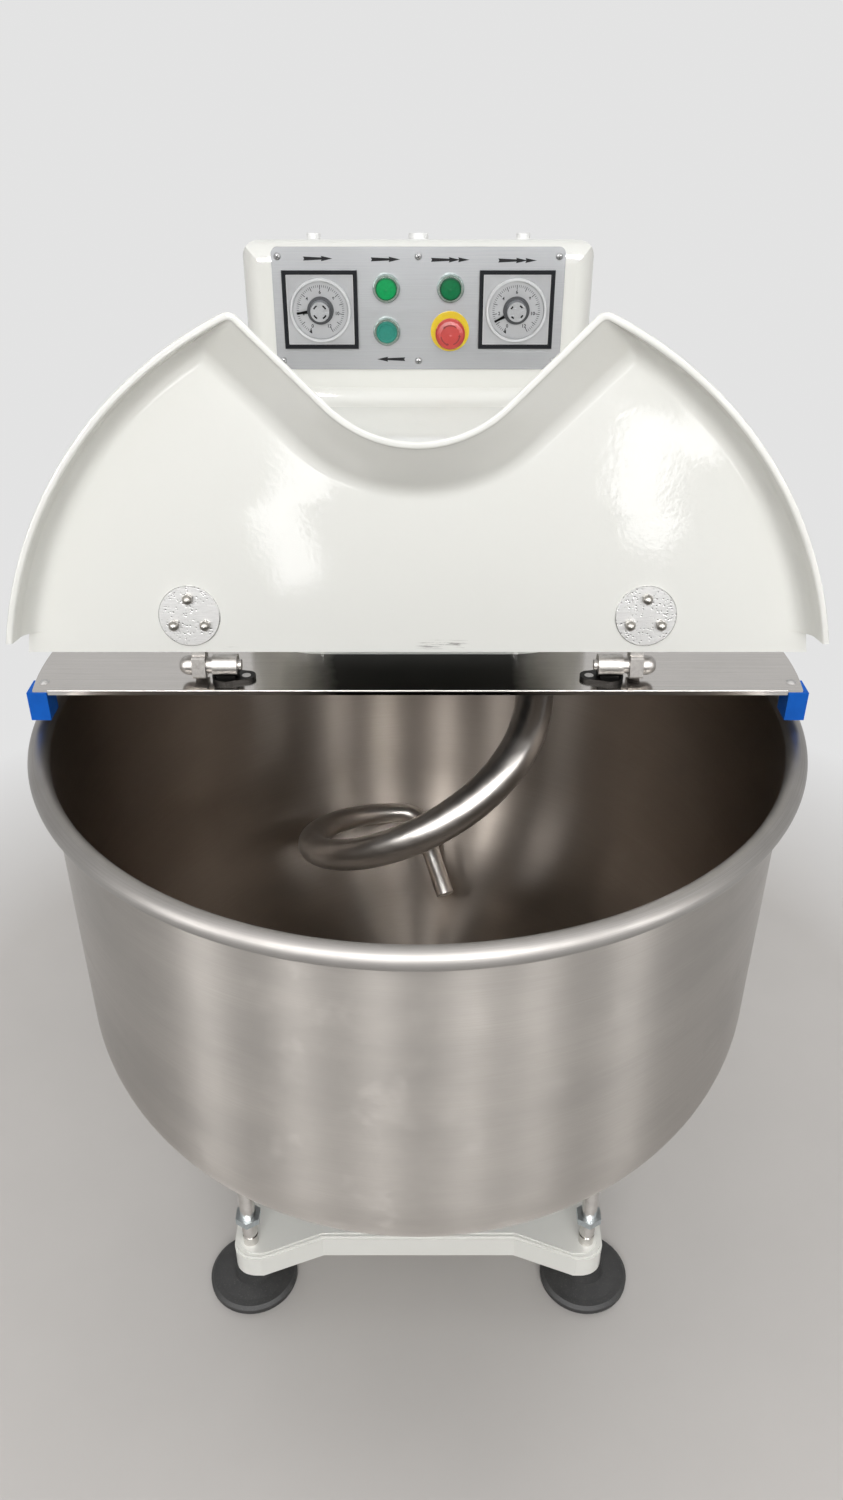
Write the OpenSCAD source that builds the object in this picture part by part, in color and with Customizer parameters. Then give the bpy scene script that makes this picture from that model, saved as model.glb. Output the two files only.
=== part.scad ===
/* [Bowl] */
// Outer radius of the bowl wall
bowl_r = 400; // [380:1:420]
// Wall thickness of the bowl
bowl_t = 3; // [2:0.5:4]
// Diameter of the rolled bead round the rim
bead_d = 22; // [18:1:26]
// Height of the bead's centre above the floor
rim_z = 848; // [830:1:870]
// Height of the bowl's underside above the floor
bowl_floor_z = 370; // [360:1:390]
// Radius of the curve between wall and floor
bowl_corner_r = 148.5; // [120:0.5:170]

/* [Spiral] */
// Distance of the spiral's axis behind the bowl's axis
spiral_back = 190; // [175:1:200]
// Radius of the spiral's centreline
spiral_r = 150; // [125:1:155]
// Bar diameter where the spiral leaves its hub
bar_d = 46; // [36:1:50]
// Bar diameter at the back of the lowest turn
bar_low_d = 23; // [18:1:28]
// Bar diameter at the blunt tip
bar_tip_d = 19; // [14:1:22]
// Height of the spiral's lowest turn
spiral_low_z = 475; // [460:1:490]
// Height of the tip's centre
tip_z = 414; // [404:1:430]
// Radius of the hub that the bar is welded into
spiral_hub_r = 42; // [36:1:50]
// Radius of the spiral's shaft
spiral_shaft_r = 25; // [20:1:30]

/* [Lid] */
// Angle between the lid as it stands open and the lid closed
lid_open = 100; // [90:1:105]
// Outer radius of the lid's skirt
lid_r = 420; // [410:1:430]
// Depth from the hinge axis down to the skirt's edge
lid_edge_drop = 56.5; // [52:0.5:57]
// Depth from the hinge axis down to the lid's outer face
lid_top_drop = 7; // [6:0.5:9]
// Thickness of the lid's panel
lid_t = 5; // [3:0.5:7]
// Width of the skirt's lip
lip_t = 7; // [5:0.5:9]
// Radius of the curve between panel and skirt, inside
lid_fillet = 20; // [12:1:28]
// Distance from the hinge axis to the lid's rear edge
tab_start = 18; // [17:1:24]
// Distance from the hinge axis to the start of the skirt
skirt_start = 40; // [32:1:50]
// Radius of the bottom of the notch
notch_r = 120; // [100:1:140]
// Distance from the hinge axis to the bottom of the notch
notch_low = 237.5; // [220:0.5:255]
// Angle of the notch's flanks
notch_angle = 44; // [40:1:50]
// Slope of the notch's wall from the upright
notch_slope = 48; // [35:1:52]
// Rounding of the two peaks beside the notch
peak_r = 14; // [8:1:20]
// Half the distance between the two lid discs
disc_x = 236; // [225:1:245]
// Distance from the hinge axis to the disc centres
disc_out = 57; // [52:1:64]
// Radius of the lid discs and of the arm flanges behind them
disc_r = 32; // [28:1:36]

/* [Cover plate and hinges] */
// Height of the cover plate's upper face
plate_z = 903; // [895:1:904]
// Thickness of the cover plate
plate_t = 3; // [2:0.5:4]
// Radius of the cover plate
plate_r = 409; // [400:1:415]
// Distance of the plate's front edge in front of the bowl's axis
plate_front = 56.5; // [54:0.5:70]
// Depth of the skirt folded down round the plate
plate_skirt = 30; // [20:1:33]
// Depth of the fold along the plate's front edge
plate_fold = 6; // [5:1:12]
// Distance of the hinge axis in front of the bowl's axis
hinge_front = 30; // [28:1:34]
// Height of the hinge axis
hinge_z = 919; // [919:0.5:924]
// Radius of the hinge pins
hinge_pin_r = 6; // [5:0.5:7]
// Distance of the hinge arms from the middle
arm_x = 231; // [228:1:236]
// Width of the hinge arms
arm_w = 14; // [10:1:16]
// Radius of the bearing barrels
barrel_r = 12; // [10:0.5:13]

/* [Frame] */
// Width of the column
col_w = 450; // [430:1:470]
// Depth of the column
col_d = 358.5; // [330:0.5:390]
// Height of the column's top above the floor
col_top = 1270; // [1265:1:1290]
// Angle by which the column's top falls to the back
top_slope = 10; // [4:1:14]
// Wall thickness of column and head
wall_t = 6; // [4:0.5:8]
// Radius of the column's edges
col_edge = 25; // [16:1:30]
// Width of the head
head_w = 400; // [370:1:420]
// Height of the head's top
head_z = 1065; // [1060:1:1080]
// Distance of the head's nose behind the bowl's axis
head_nose = 26; // [24:1:34]
// Height of the base's underside
base_z = 85; // [78:1:95]
// Thickness of the base
base_t = 45; // [38:1:52]
// Width of the base
base_w = 488; // [470:1:510]
// Distance of the base's front corners in front of the bowl's axis
base_front = 190; // [185:1:200]
// How far the middle of the base's front edge is set back
base_setback = 30; // [20:1:40]

/* [Feet and posts] */
// Radius of the foot pads
pad_r = 60; // [50:1:65]
// Half the distance between the two front feet
foot_x = 231; // [220:1:235]
// Distance of the front feet in front of the bowl's axis
foot_front = 130; // [120:1:140]
// Radius of the foot spindles
spindle_r = 10; // [8:0.5:12]
// Radius of the support posts
post_r = 10; // [8:0.5:11]
// Half the distance between the support posts
post_x = 222; // [215:1:226]
// Distance of the support posts in front of the bowl's axis
post_front = 164.5; // [160:0.5:168]
// Height of the lock nut on a support post
post_nut_z = 180; // [170:1:200]
// Radius of the support rollers
roller_r = 34; // [28:1:38]
// Width of the support rollers
roller_w = 20; // [16:1:24]

/* [Control panel] */
// Width of the panel plate
panel_w = 372; // [360:1:390]
// Height of the panel plate
panel_h = 150; // [145:1:154]
// Thickness of the panel plate
panel_t = 3; // [2:0.5:4]
// Height of the panel's middle
panel_z = 1185.5; // [1185:0.5:1186]
// Side of the square timer frames
timer_s = 96; // [90:1:98]
// Distance of the timers from the middle
timer_x = 126; // [120:1:130]
// Distance of the buttons from the middle
button_x = 41; // [36:1:44]
// Half the height between the two rows of buttons
button_dz = 26.5; // [25:0.5:28]
// Radius of the button caps
button_r = 13.8; // [12:0.1:14.5]
// Travel of the push buttons
button_travel = 3.5; // [2:0.5:4]
// Radius of the stop button's mushroom head
stop_r = 19; // [17:0.5:20]

/* [Drive] */
// Radius of the bowl's pulley
bowl_pulley_r = 180; // [150:1:190]
// Radius of the spiral's pulley
spiral_pulley_r = 130; // [110:1:135]
// Radius of the motor pulleys
motor_pulley_r = 42; // [36:1:48]
// Radius of the motors
motor_r = 85; // [70:1:95]
// Thickness of the belts
belt_t = 8; // [6:0.5:10]

/* [Clearances] */
// Radial clearance of a shaft in its bearing
run_gap = 0.05; // [0.03:0.01:0.09]
// Gap between pieces that turn past each other
free_gap = 0.3; // [0.25:0.05:0.5]

/* [Hidden] */
$fn = 64;

// Flat and round faces that would only touch are set this far into each other.
kiss = 0.05;

bowl_in_r = bowl_r - bowl_t;
bead_c = bowl_in_r + bead_d / 2;
rim_r = bead_c + bead_d / 2;
panel_face = 444.5;
col_front = panel_face + panel_t;
col_back = col_front + col_d;
gland_l = 25;
bowl_y = -(col_back + gland_l - rim_r) / 2;
base_top = base_z + base_t;
plate_low = plate_z - plate_t;

// Everything is drawn about the bowl's axis and then moved to the part's frame.
module at_bowl() { translate([0, bowl_y, 0]) children(); }
module at_spiral() { translate([0, bowl_y + spiral_back, 0]) children(); }
// The lid and its arms are drawn closed about the hinge axis and turned open.
module at_hinge() {
    translate([0, bowl_y - hinge_front, hinge_z]) rotate([-lid_open, 0, 0]) children();
}
module both() { children(); mirror([1, 0, 0]) children(); }

// Flat shapes with round corners, made of squares and circles.
module round_rect(w, h, r) {
    square([w - 2 * r, h], center = true);
    square([w, h - 2 * r], center = true);
    for (x = [-1, 1], y = [-1, 1]) translate([x * (w / 2 - r), y * (h / 2 - r)]) circle(r = r);
}
// A box from [x0, y0] to [x1, y1] with its two upper corners rounded.
module round_top(x0, y0, x1, y1, r) {
    translate([x0, y0]) square([x1 - x0, y1 - y0 - r]);
    translate([x0 + r, y0]) square([x1 - x0 - 2 * r, y1 - y0]);
    for (x = [x0 + r, x1 - r]) translate([x, y1 - r]) circle(r = r);
}
// A box from [x0, y0] to [x1, y1] with one upper corner rounded, at x0.
module round_one(x0, y0, x1, y1, r) {
    translate([x0, y0]) square([x1 - x0, y1 - y0 - r]);
    translate([x0 + r, y0]) square([x1 - x0 - r, y1 - y0]);
    translate([x0 + r, y1 - r]) circle(r = r);
}
module ring(r1, r0, h) { difference() { cylinder(r = r1, h = h); translate([0, 0, -1]) cylinder(r = r0, h = h + 2); } }
module hex(af, h) { cylinder(r = af / sqrt(3), h = h, $fn = 6); }
// Turns a piece drawn upwards so that it points out of the panel, towards the front.
module on_panel(x, z) { translate([x, panel_face, z]) rotate([90, 0, 0]) children(); }

// ---- bowl ----
// Half section: straight wall, round corner, flat floor.
module bowl_half(r, z0, top, rc) {
    translate([0, z0]) square([r - rc, top - z0]);
    translate([0, z0 + rc]) square([r, top - z0 - rc]);
    intersection() {
        translate([r - rc, z0 + rc]) circle(r = rc, $fn = 128);
        translate([r - rc, z0]) square([rc, rc]);
    }
}
module bowl_shell() color([0.72, 0.70, 0.67]) at_bowl() rotate_extrude($fn = 128) {
    difference() {
        bowl_half(bowl_r, bowl_floor_z, rim_z, bowl_corner_r);
        bowl_half(bowl_in_r, bowl_floor_z + bowl_t, rim_z + 1, bowl_corner_r - bowl_t);
    }
    // the bead is rolled outwards and its edge stops short of the wall, underneath
    difference() {
        translate([bead_c, rim_z]) circle(r = bead_d / 2, $fn = 48);
        translate([bead_c, rim_z]) circle(r = bead_d / 2 - bowl_t, $fn = 48);
        translate([bowl_r + 0.001, rim_z - bead_d]) square([bead_d / 2 - bowl_t - 1, bead_d]);
    }
}
hub_low = bowl_floor_z - 30;
pulley_low = hub_low - 34;
spindle_low = base_top + 12;
module bowl_hub() color([0.45, 0.46, 0.47]) at_bowl() {
    translate([0, 0, bowl_floor_z - 10]) cylinder(r = 150, h = 10);
    translate([0, 0, hub_low]) cylinder(r = 70, h = 20.5);
    translate([0, 0, spindle_low]) cylinder(r = 30, h = hub_low + 1 - spindle_low);
    for (a = [0:60:300]) rotate(a) rotate([90, 0, 0])
        translate([0, 0, -4]) linear_extrude(8)
            polygon([[65, hub_low + 2], [65, bowl_floor_z - 9], [140, bowl_floor_z - 9]]);
}
module bowl_pulley() color([0.40, 0.41, 0.42]) at_bowl() {
    difference() {
        translate([0, 0, pulley_low]) cylinder(r = bowl_pulley_r, h = 33.5);
        translate([0, 0, pulley_low - 1]) cylinder(r = 30 + run_gap, h = 60);
        // the web is thinner than the rim
        for (z = [pulley_low - 1, pulley_low + 23]) translate([0, 0, z])
            ring(bowl_pulley_r - 14, 60, 11.5);
        for (a = [30:60:330]) rotate(a) translate([115, 0, pulley_low]) cylinder(r = 26, h = 40);
    }
}
module bowl_bearing() color([0.30, 0.31, 0.33]) at_bowl() difference() {
    union() {
        translate([0, 0, base_top]) cylinder(r = 90, h = 18);
        translate([0, 0, base_top]) cylinder(r = 56, h = pulley_low - 4 - base_top);
        for (a = [45:90:315]) rotate(a) translate([0, -5, base_top]) rotate([90, 0, 0])
            translate([0, 0, -10]) linear_extrude(10) polygon([[50, 10], [86, 17], [50, 110]]);
    }
    translate([0, 0, spindle_low - 0.5]) cylinder(r = 30 + run_gap, h = 400);
}
motor_y = col_front + 165;
module belt(r1, r2, d, h) {
    // a belt round two pulleys, d apart along y
    difference() {
        belt_solid(r1 + free_gap + belt_t, r2 + free_gap + belt_t, d, h);
        translate([0, 0, -1]) belt_solid(r1 + free_gap, r2 + free_gap, d, h + 2);
    }
}
module belt_solid(r1, r2, d, h) {
    s = (r1 - r2) / d;
    c = sqrt(1 - s * s);
    a = r1 - kiss;
    b = r2 - kiss;
    cylinder(r = r1, h = h, $fn = 96);
    translate([0, d, 0]) cylinder(r = r2, h = h);
    linear_extrude(h) polygon([[-a * c, a * s], [a * c, a * s], [b * c, d + b * s], [-b * c, d + b * s]]);
}
module bowl_belt() color([0.09, 0.09, 0.09]) at_bowl() translate([0, 0, pulley_low + 4])
    belt(bowl_pulley_r, motor_pulley_r, motor_y, 25);
module motor_body(z0, h) {
    translate([0, motor_y, z0]) {
        cylinder(r = motor_r - 8, h = h);
        for (a = [0:15:345]) rotate(a) translate([motor_r - 12, -2, 12]) cube([12, 4, h - 30]);
        translate([0, 0, h - 12]) cylinder(r = motor_r, h = 12);
    }
}
// The bowl's motor stands on the base with its shaft up.
bowl_motor_top = pulley_low - 8;
module bowl_motor() color([0.22, 0.33, 0.42]) at_bowl() {
    motor_body(base_top, bowl_motor_top - base_top);
    translate([0, motor_y, bowl_motor_top - 1]) cylinder(r = 24, h = 5);
}
module motor_pulley(z0, h) translate([0, motor_y, z0]) {
    difference() {
        union() {
            cylinder(r = motor_pulley_r, h = h);
            translate([0, 0, -4]) cylinder(r = 20, h = h + 8);
        }
        for (z = [4, h - 6]) translate([0, 0, z]) rotate_extrude() translate([motor_pulley_r - 3, 0])
            polygon([[0, 1], [4, -0.5], [4, 2.5]]);
    }
}
module bowl_motor_pulley() color([0.5, 0.5, 0.52]) at_bowl()
    motor_pulley(pulley_low + 0.3, 33);

// ---- spiral ----
hub_top = plate_low - 8;
hub_bot = hub_top - 54;
turn = 395;
top_angle = 125;
arm_top_z = hub_top - 30;
function ease(s) = 3 * s * s - 2 * s * s * s;
function helix_a(s) = top_angle - turn * s;
function pull(a) = a < 20 ? 0 : (a - 20) / (top_angle - 20);
function helix_rad(s) = spiral_r * (1 - 0.8 * pow(pull(helix_a(s)), 2)
    - 0.09 * pow(max(0, s - 0.8) / 0.2, 2));
function helix_z(s) = arm_top_z - (arm_top_z - spiral_low_z) * ease(s);
function helix(s) = [helix_rad(s) * cos(helix_a(s)), helix_rad(s) * sin(helix_a(s)), helix_z(s)];
end_s = 0.975;
bend_p = [18, spiral_r * 0.9, spiral_low_z - 3];
rod_p = [17, spiral_r * 0.44, spiral_low_z - 16];
tip_p = [39, 16, tip_z];
function bend(t) = (1 - t) * (1 - t) * helix(end_s) + 2 * t * (1 - t) * bend_p + t * t * rod_p;
arm_pts = concat([for (i = [0:43]) helix(end_s * i / 43)], [for (i = [1:8]) bend(i / 8)],
    [for (i = [1:3]) rod_p + (tip_p - rod_p) * i / 3]);
arm_n = len(arm_pts);
function arm_d(i) = i < 14 ? bar_d : i < 44 ? bar_d + (bar_low_d - bar_d) * (i - 14) / 30
    : bar_low_d + (bar_tip_d - bar_low_d) * min(1, (i - 43) / 9);
function unit(v) = v / norm(v);
arm_sides = 18;
function arm_ring(i) = let (
        t = unit(arm_pts[min(i + 1, arm_n - 1)] - arm_pts[max(i - 1, 0)]),
        e = unit(cross(t, [0, 0, 1])), u = cross(e, t))
    [for (k = [0:arm_sides - 1]) arm_pts[i] + arm_d(i) / 2
        * (cos(360 * k / arm_sides) * e + sin(360 * k / arm_sides) * u)];
module spiral_arm() color([0.74, 0.72, 0.70]) at_spiral() polyhedron(
    points = [for (i = [0:arm_n - 1]) each arm_ring(i)],
    faces = concat([[for (k = [0:arm_sides - 1]) k]],
        [for (i = [0:arm_n - 2], k = [0:arm_sides - 1])
            [i * arm_sides + k, (i + 1) * arm_sides + k,
                (i + 1) * arm_sides + (k + 1) % arm_sides, i * arm_sides + (k + 1) % arm_sides]],
        [[for (k = [arm_sides - 1:-1:0]) (arm_n - 1) * arm_sides + k]]));
head_floor = plate_z + 10;
s_pulley_z = head_floor + 82;
shaft_top = s_pulley_z + 42;
module spiral_shaft() color([0.66, 0.66, 0.66]) at_spiral() {
    translate([0, 0, hub_bot]) cylinder(r1 = spiral_hub_r - 8, r2 = spiral_hub_r, h = 8);
    translate([0, 0, hub_bot + 8]) cylinder(r = spiral_hub_r, h = hub_top - hub_bot - 8);
    translate([0, 0, hub_top - 1]) cylinder(r = spiral_shaft_r, h = shaft_top - hub_top + 1);
}
module spiral_pulley() color([0.40, 0.41, 0.42]) at_spiral() translate([0, 0, s_pulley_z]) difference() {
    cylinder(r = spiral_pulley_r, h = 34);
    translate([0, 0, -1]) cylinder(r = spiral_shaft_r + run_gap, h = 60);
    for (z = [-1, 24]) translate([0, 0, z]) ring(spiral_pulley_r - 12, spiral_shaft_r + 20, 11);
    for (a = [0:60:300]) rotate(a) translate([(spiral_pulley_r + spiral_shaft_r) / 2, 0, 0])
        cylinder(r = 20, h = 40);
}
// Two flanged bearings, under and over the head's floor.
bearing_r = 62;
module spiral_bearings() color([0.30, 0.31, 0.33]) at_spiral() translate([0, 0, head_floor]) difference() {
    union() {
        cylinder(r = bearing_r, h = 14);
        cylinder(r = 46, h = s_pulley_z - head_floor - 4);
    }
    translate([0, 0, -1]) cylinder(r = spiral_shaft_r + run_gap, h = 200);
}
spiral_motor_top = s_pulley_z - 8;
module spiral_motor() color([0.22, 0.33, 0.42]) at_bowl() {
    motor_body(spiral_motor_top - 290, 290);
    translate([0, motor_y, spiral_motor_top - 1]) cylinder(r = 24, h = 5);
    // foot plate that carries the motor between the column's side walls
    difference() {
        translate([-col_w / 2 + wall_t, motor_y - 100, spiral_motor_top - 302])
            cube([col_w - 2 * wall_t, 200, 12]);
        translate([0, motor_y, spiral_motor_top - 310]) cylinder(r = 30, h = 30);
    }
}
module spiral_motor_pulley() color([0.5, 0.5, 0.52]) at_bowl()
    motor_pulley(s_pulley_z + 0.3, 34);
module spiral_belt() color([0.09, 0.09, 0.09]) at_spiral() translate([0, 0, s_pulley_z + 5])
    belt(spiral_pulley_r, motor_pulley_r, motor_y - spiral_back, 25);

// ---- base, feet, posts ----
// Half plan of the base: the front edge is set back between two rounded corners.
module base_plan(in) {
    w = base_w / 2 - in;
    f = -base_front + in;
    r = 26;
    difference() {
        union() {
            translate([-w, f + r]) square([2 * w, col_back - in - f - r]);
            for (s = [-1, 1]) translate([s * (w - r), f + r]) circle(r = r);
            translate([-w + r, f]) square([2 * w - 2 * r, r + 1]);
        }
        polygon([[-w + 34, f - 1], [-128, f + base_setback], [128, f + base_setback], [w - 34, f - 1]]);
    }
}
base_wall = 12;
module base_casting() color([0.92, 0.92, 0.89]) at_bowl() difference() {
    union() {
        translate([0, 0, base_z + 6]) linear_extrude(base_t - 12) base_plan(0);
        // the long edges are eased in two steps
        translate([0, 0, base_z]) linear_extrude(base_t) base_plan(6);
        translate([0, 0, base_z + 2]) linear_extrude(base_t - 4) base_plan(2);
    }
    // the casting is open underneath, with a rib across it
    difference() {
        translate([-base_w / 2 + 90, -base_front + 60, base_z - 1])
            cube([base_w - 180, col_back + base_front - 120, base_t - base_wall]);
        for (y = [50, 300, 520]) translate([-base_w / 2, y, base_z - 2]) cube([base_w, base_wall, base_t]);
    }
    for (p = foot_points()) translate([p[0], p[1], base_z - 1])
        cylinder(r = spindle_r + run_gap, h = base_t - base_wall);
    both() translate([post_x, -post_front, base_top - 25]) cylinder(r = post_r + run_gap, h = 30);
}
rear_foot_y = 740;
function foot_points() = [[-foot_x, -foot_front], [foot_x, -foot_front],
    [-foot_x + 16, rear_foot_y], [foot_x - 16, rear_foot_y]];
pad_t = 16;
module foot_pads() color([0.07, 0.07, 0.07]) at_bowl() for (p = foot_points()) translate([p[0], p[1], 0])
    rotate_extrude() difference() {
        polygon([[0, 0], [pad_r - 2, 0], [pad_r, 3], [pad_r, pad_t - 6], [pad_r - 4, pad_t - 1],
            [pad_r - 12, pad_t], [27, pad_t + 4], [24, pad_t + 16], [0, pad_t + 16]]);
        translate([-1, 6]) square([spindle_r + 1 + run_gap, 60]);
    }
module foot_spindles() color([0.62, 0.63, 0.64]) at_bowl() for (p = foot_points()) translate([p[0], p[1], 0]) {
    translate([0, 0, 6.3]) cylinder(r = spindle_r, h = base_top - base_wall - 8);
    translate([0, 0, base_z - 12]) hex(30, 12);
}
// The posts stand upright between the base and the roller forks.
roller_c = sqrt(post_x * post_x + post_front * post_front);
roller_az = atan2(-post_front, post_x);
// The bowl's underside over the roller's inner edge.
under_r = roller_c - roller_w / 2 - (bowl_r - bowl_corner_r);
roller_top = bowl_floor_z + bowl_corner_r - sqrt(pow(bowl_corner_r, 2) - pow(max(0, under_r), 2)) - free_gap;
roller_z = roller_top - roller_r;
fork_t = 5;
fork_low = roller_z - roller_r - 12;
axle_r = 6;
module at_posts() { at_bowl() both() translate([post_x, -post_front, 0]) children(); }
module support_posts() color([0.80, 0.80, 0.80]) at_posts() difference() {
    translate([0, 0, base_top - 24]) cylinder(r = post_r, h = fork_low - base_top + 24);
    translate([0, 0, base_top + 14]) ring(post_r + 2, post_r - 1, 4);
}
module post_nuts() color([0.70, 0.74, 0.76]) at_posts() difference() {
    translate([0, 0, post_nut_z - 5]) rotate(30) hex(30, 10);
    translate([0, 0, post_nut_z - 20]) cylinder(r = post_r + run_gap, h = 40);
}
module at_rollers() { translate([0, 0, roller_z]) rotate(roller_az) children(); }
module roller_forks() color([0.09, 0.09, 0.10]) at_posts() at_rollers() difference() {
    union() {
        translate([-22, -25, fork_low - roller_z]) cube([44, 50, fork_t]);
        for (x = [-22, 22 - fork_t]) translate([x, 0, 0]) rotate([90, 0, 90]) linear_extrude(fork_t) {
            circle(r = 16);
            polygon([[-25, fork_low - roller_z + 1], [25, fork_low - roller_z + 1], [15.5, 2], [-15.5, 2]]);
        }
        translate([-27, 0, 0]) rotate([0, 90, 0]) cylinder(r = axle_r, h = 54);
        for (x = [-30, 22]) translate([x, 0, 0]) rotate([0, 90, 0]) hex(19, 8);
    }
}
module roller() at_rollers() rotate([0, 90, 0]) rotate_extrude() difference() {
    translate([axle_r + run_gap, -roller_w / 2]) square([roller_r - axle_r - run_gap, roller_w]);
    // softened edges of the tread
    for (s = [-1, 1]) translate([roller_r, s * roller_w / 2]) rotate(45) square([4, 4], center = true);
}
module roller_right() color([0.10, 0.10, 0.11]) at_bowl() translate([post_x, -post_front, 0]) roller();
module roller_left() color([0.10, 0.10, 0.11]) at_bowl() mirror([1, 0, 0])
    translate([post_x, -post_front, 0]) roller();

// ---- column and head ----
// A block whose upright and upper edges are rounded, with its top falling to the back:
// plan, front view and side view meet.
module soft_block(w, y0, y1, z0, z1, r, fall) {
    d = y1 - y0;
    far = d + z1 - z0;
    intersection() {
        translate([0, (y0 + y1) / 2, z0]) linear_extrude(z1 - z0) round_rect(w, d, r);
        translate([0, y0, z1]) rotate([-fall, 0, 0]) translate([0, far, 0]) rotate([90, 0, 0])
            linear_extrude(far + 2) round_top(-w / 2, 2 * (z0 - z1), w / 2, 0, r);
        translate([-w / 2, 0, 0]) rotate([90, 0, 90]) linear_extrude(w) {
            drop = r * tan(fall) + r / cos(fall);
            low = z1 - drop - (d - 2 * r) * tan(fall);
            lean = [r * sin(fall), r * cos(fall)];
            polygon([[y0, z0], [y1, z0], [y1, low], [y1 - r, low] + lean,
                [y0 + r, z1 - drop] + lean, [y0, z1 - drop]]);
            translate([y0 + r, z1 - drop]) circle(r = r);
            translate([y1 - r, low]) circle(r = r);
        }
    }
}
belt_win = pulley_low - 6;
module column_shell() color([0.92, 0.92, 0.89]) at_bowl() difference() {
    soft_block(col_w, col_front, col_back, base_top, col_top, col_edge, top_slope);
    // hollow, open at the base and at the back
    soft_block(col_w - 2 * wall_t, col_front + wall_t, col_back - 9, base_top - 1,
        col_top - 1.2 * wall_t, col_edge - wall_t, top_slope);
    // opening at the back, and the recess round it that the rear cover lies in
    translate([-cover_w / 2 + 14, col_back - 30, cover_low + 14])
        cube([cover_w - 28, 40, cover_top - cover_low - 28]);
    translate([0, col_back + 1, (cover_top + cover_low) / 2]) rotate([90, 0, 0])
        linear_extrude(6) round_rect(cover_w + 2 * free_gap, cover_top - cover_low + 2 * free_gap, 12);
    // way for the bowl's belt
    translate([0, col_front, belt_win + 22]) rotate([90, 0, 0]) translate([0, 0, -20])
        linear_extrude(40) round_rect(2 * bowl_pulley_r - 110, 44, 10);
    // way into the head
    translate([0, col_front, (head_floor + head_z) / 2 - 1]) rotate([90, 0, 0]) translate([0, 0, -20])
        linear_extrude(40) round_rect(head_w - 90, head_z - head_floor - 40, 12);
    // holes behind the panel
    for (x = [-1, 1]) {
        translate([x * timer_x - 45, col_front - 1, panel_z - 45]) cube([90, wall_t + 2, 90]);
        for (z = [-1, 1]) on_panel(x * button_x, panel_z + z * button_dz)
            translate([0, 0, -20]) cylinder(r = 11.5, h = 40);
    }
    for (x = [-1, 0, 1], z = [-1, 1]) on_panel(x * screw_x, panel_z + z * screw_dz)
        translate([0, 0, -20]) cylinder(r = 2 + run_gap, h = 40);
}
cover_w = col_w - 2 * wall_t - 2 * 4;
cover_top = col_top - col_d * tan(top_slope) - 34;
cover_low = base_top + 4;
module rear_cover() color([0.90, 0.90, 0.87]) at_bowl() difference() {
    translate([0, col_back - 2, (cover_top + cover_low) / 2]) rotate([90, 0, 0])
        linear_extrude(3) round_rect(cover_w, cover_top - cover_low, 12);
    // vent slots, low and high
    for (z0 = [cover_low + 110, cover_top - 190], k = [0:6])
        translate([0, col_back, z0 + 16 * k]) rotate([90, 0, 0]) linear_extrude(20)
            round_rect(200, 6, 2.9);
    translate([-120, col_back - 30, cover_low + 50]) rotate([-90, 0, 0]) cylinder(r = 11 + run_gap, h = 60);
}
module cover_screws() color([0.6, 0.6, 0.6]) at_bowl()
    for (x = [-1, 1], z = [cover_low + 40, (cover_low + cover_top) / 2, cover_top - 40])
        translate([x * (cover_w / 2 - 12), col_back - 2, z]) rotate([-90, 0, 0]) cylinder(r = 5, h = 2);
// The head: its nose is rounded in plan, its top edges are rounded all round.
nose_r = 95;
cove_r = 22;
module head_block(in) {
    w = head_w - 2 * in;
    y0 = head_nose + in;
    z0 = plate_z + (in > 0 ? 10 : 0);
    z1 = head_z - in;
    y1 = col_front + (in > 0 ? 2 : 0);
    rt = 46 - in;
    intersection() {
        translate([0, 0, z0]) linear_extrude(z1 - z0) {
            translate([-w / 2, y0 + nose_r - in]) square([w, y1 - y0 - nose_r + in]);
            translate([-w / 2 + nose_r - in, y0]) square([w - 2 * nose_r + 2 * in, 100]);
            for (s = [-1, 1]) translate([s * (w / 2 - nose_r + in), y0 + nose_r - in])
                circle(r = nose_r - in, $fn = 96);
        }
        translate([0, y1 + 5, 0]) rotate([90, 0, 0]) linear_extrude(y1 - y0 + 10)
            round_top(-w / 2, z0 - 5, w / 2, z1, rt - 6);
        translate([-w / 2 - 5, 0, 0]) rotate([90, 0, 90]) linear_extrude(w + 10)
            round_one(y0, z0 - 5, y1 + 5, z1, rt);
    }
}
module head_shell() color([0.92, 0.92, 0.89]) at_bowl() difference() {
    union() {
        head_block(0);
        // cove between the head's top and the column
        difference() {
            translate([-head_w / 2 + 50, col_front - cove_r, head_z - 2]) cube([head_w - 100, cove_r, cove_r + 1]);
            translate([-head_w / 2, col_front - cove_r - 0.6, head_z + cove_r - 0.4]) rotate([0, 90, 0])
                cylinder(r = cove_r, h = head_w);
        }
    }
    head_block(wall_t);
    translate([0, spiral_back, plate_z - 1]) cylinder(r = bearing_r - 12, h = 12);
}

// ---- cover plate over the rear half of the bowl ----
module plate_plan(r) {
    intersection() {
        circle(r = r, $fn = 128);
        translate([-r, -plate_front]) square([2 * r, col_front - free_gap + plate_front]);
    }
}
fold_y = -plate_front;
module cover_plate() color([0.62, 0.60, 0.58]) at_bowl() {
    difference() {
        union() {
            translate([0, 0, plate_low]) linear_extrude(plate_t) plate_plan(plate_r);
            // fold along the front edge
            translate([-fold_x, fold_y, plate_z - plate_fold]) cube([2 * fold_x, 2, plate_fold - 1]);
        }
        translate([0, spiral_back, plate_low - 1]) cylinder(r = spiral_shaft_r + 4, h = 10);
        for (s = [-1, 1]) translate([s * screw_plate_x, screw_plate_y, plate_low - 1])
            cylinder(r = 3 + run_gap, h = 10);
    }
}
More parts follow.
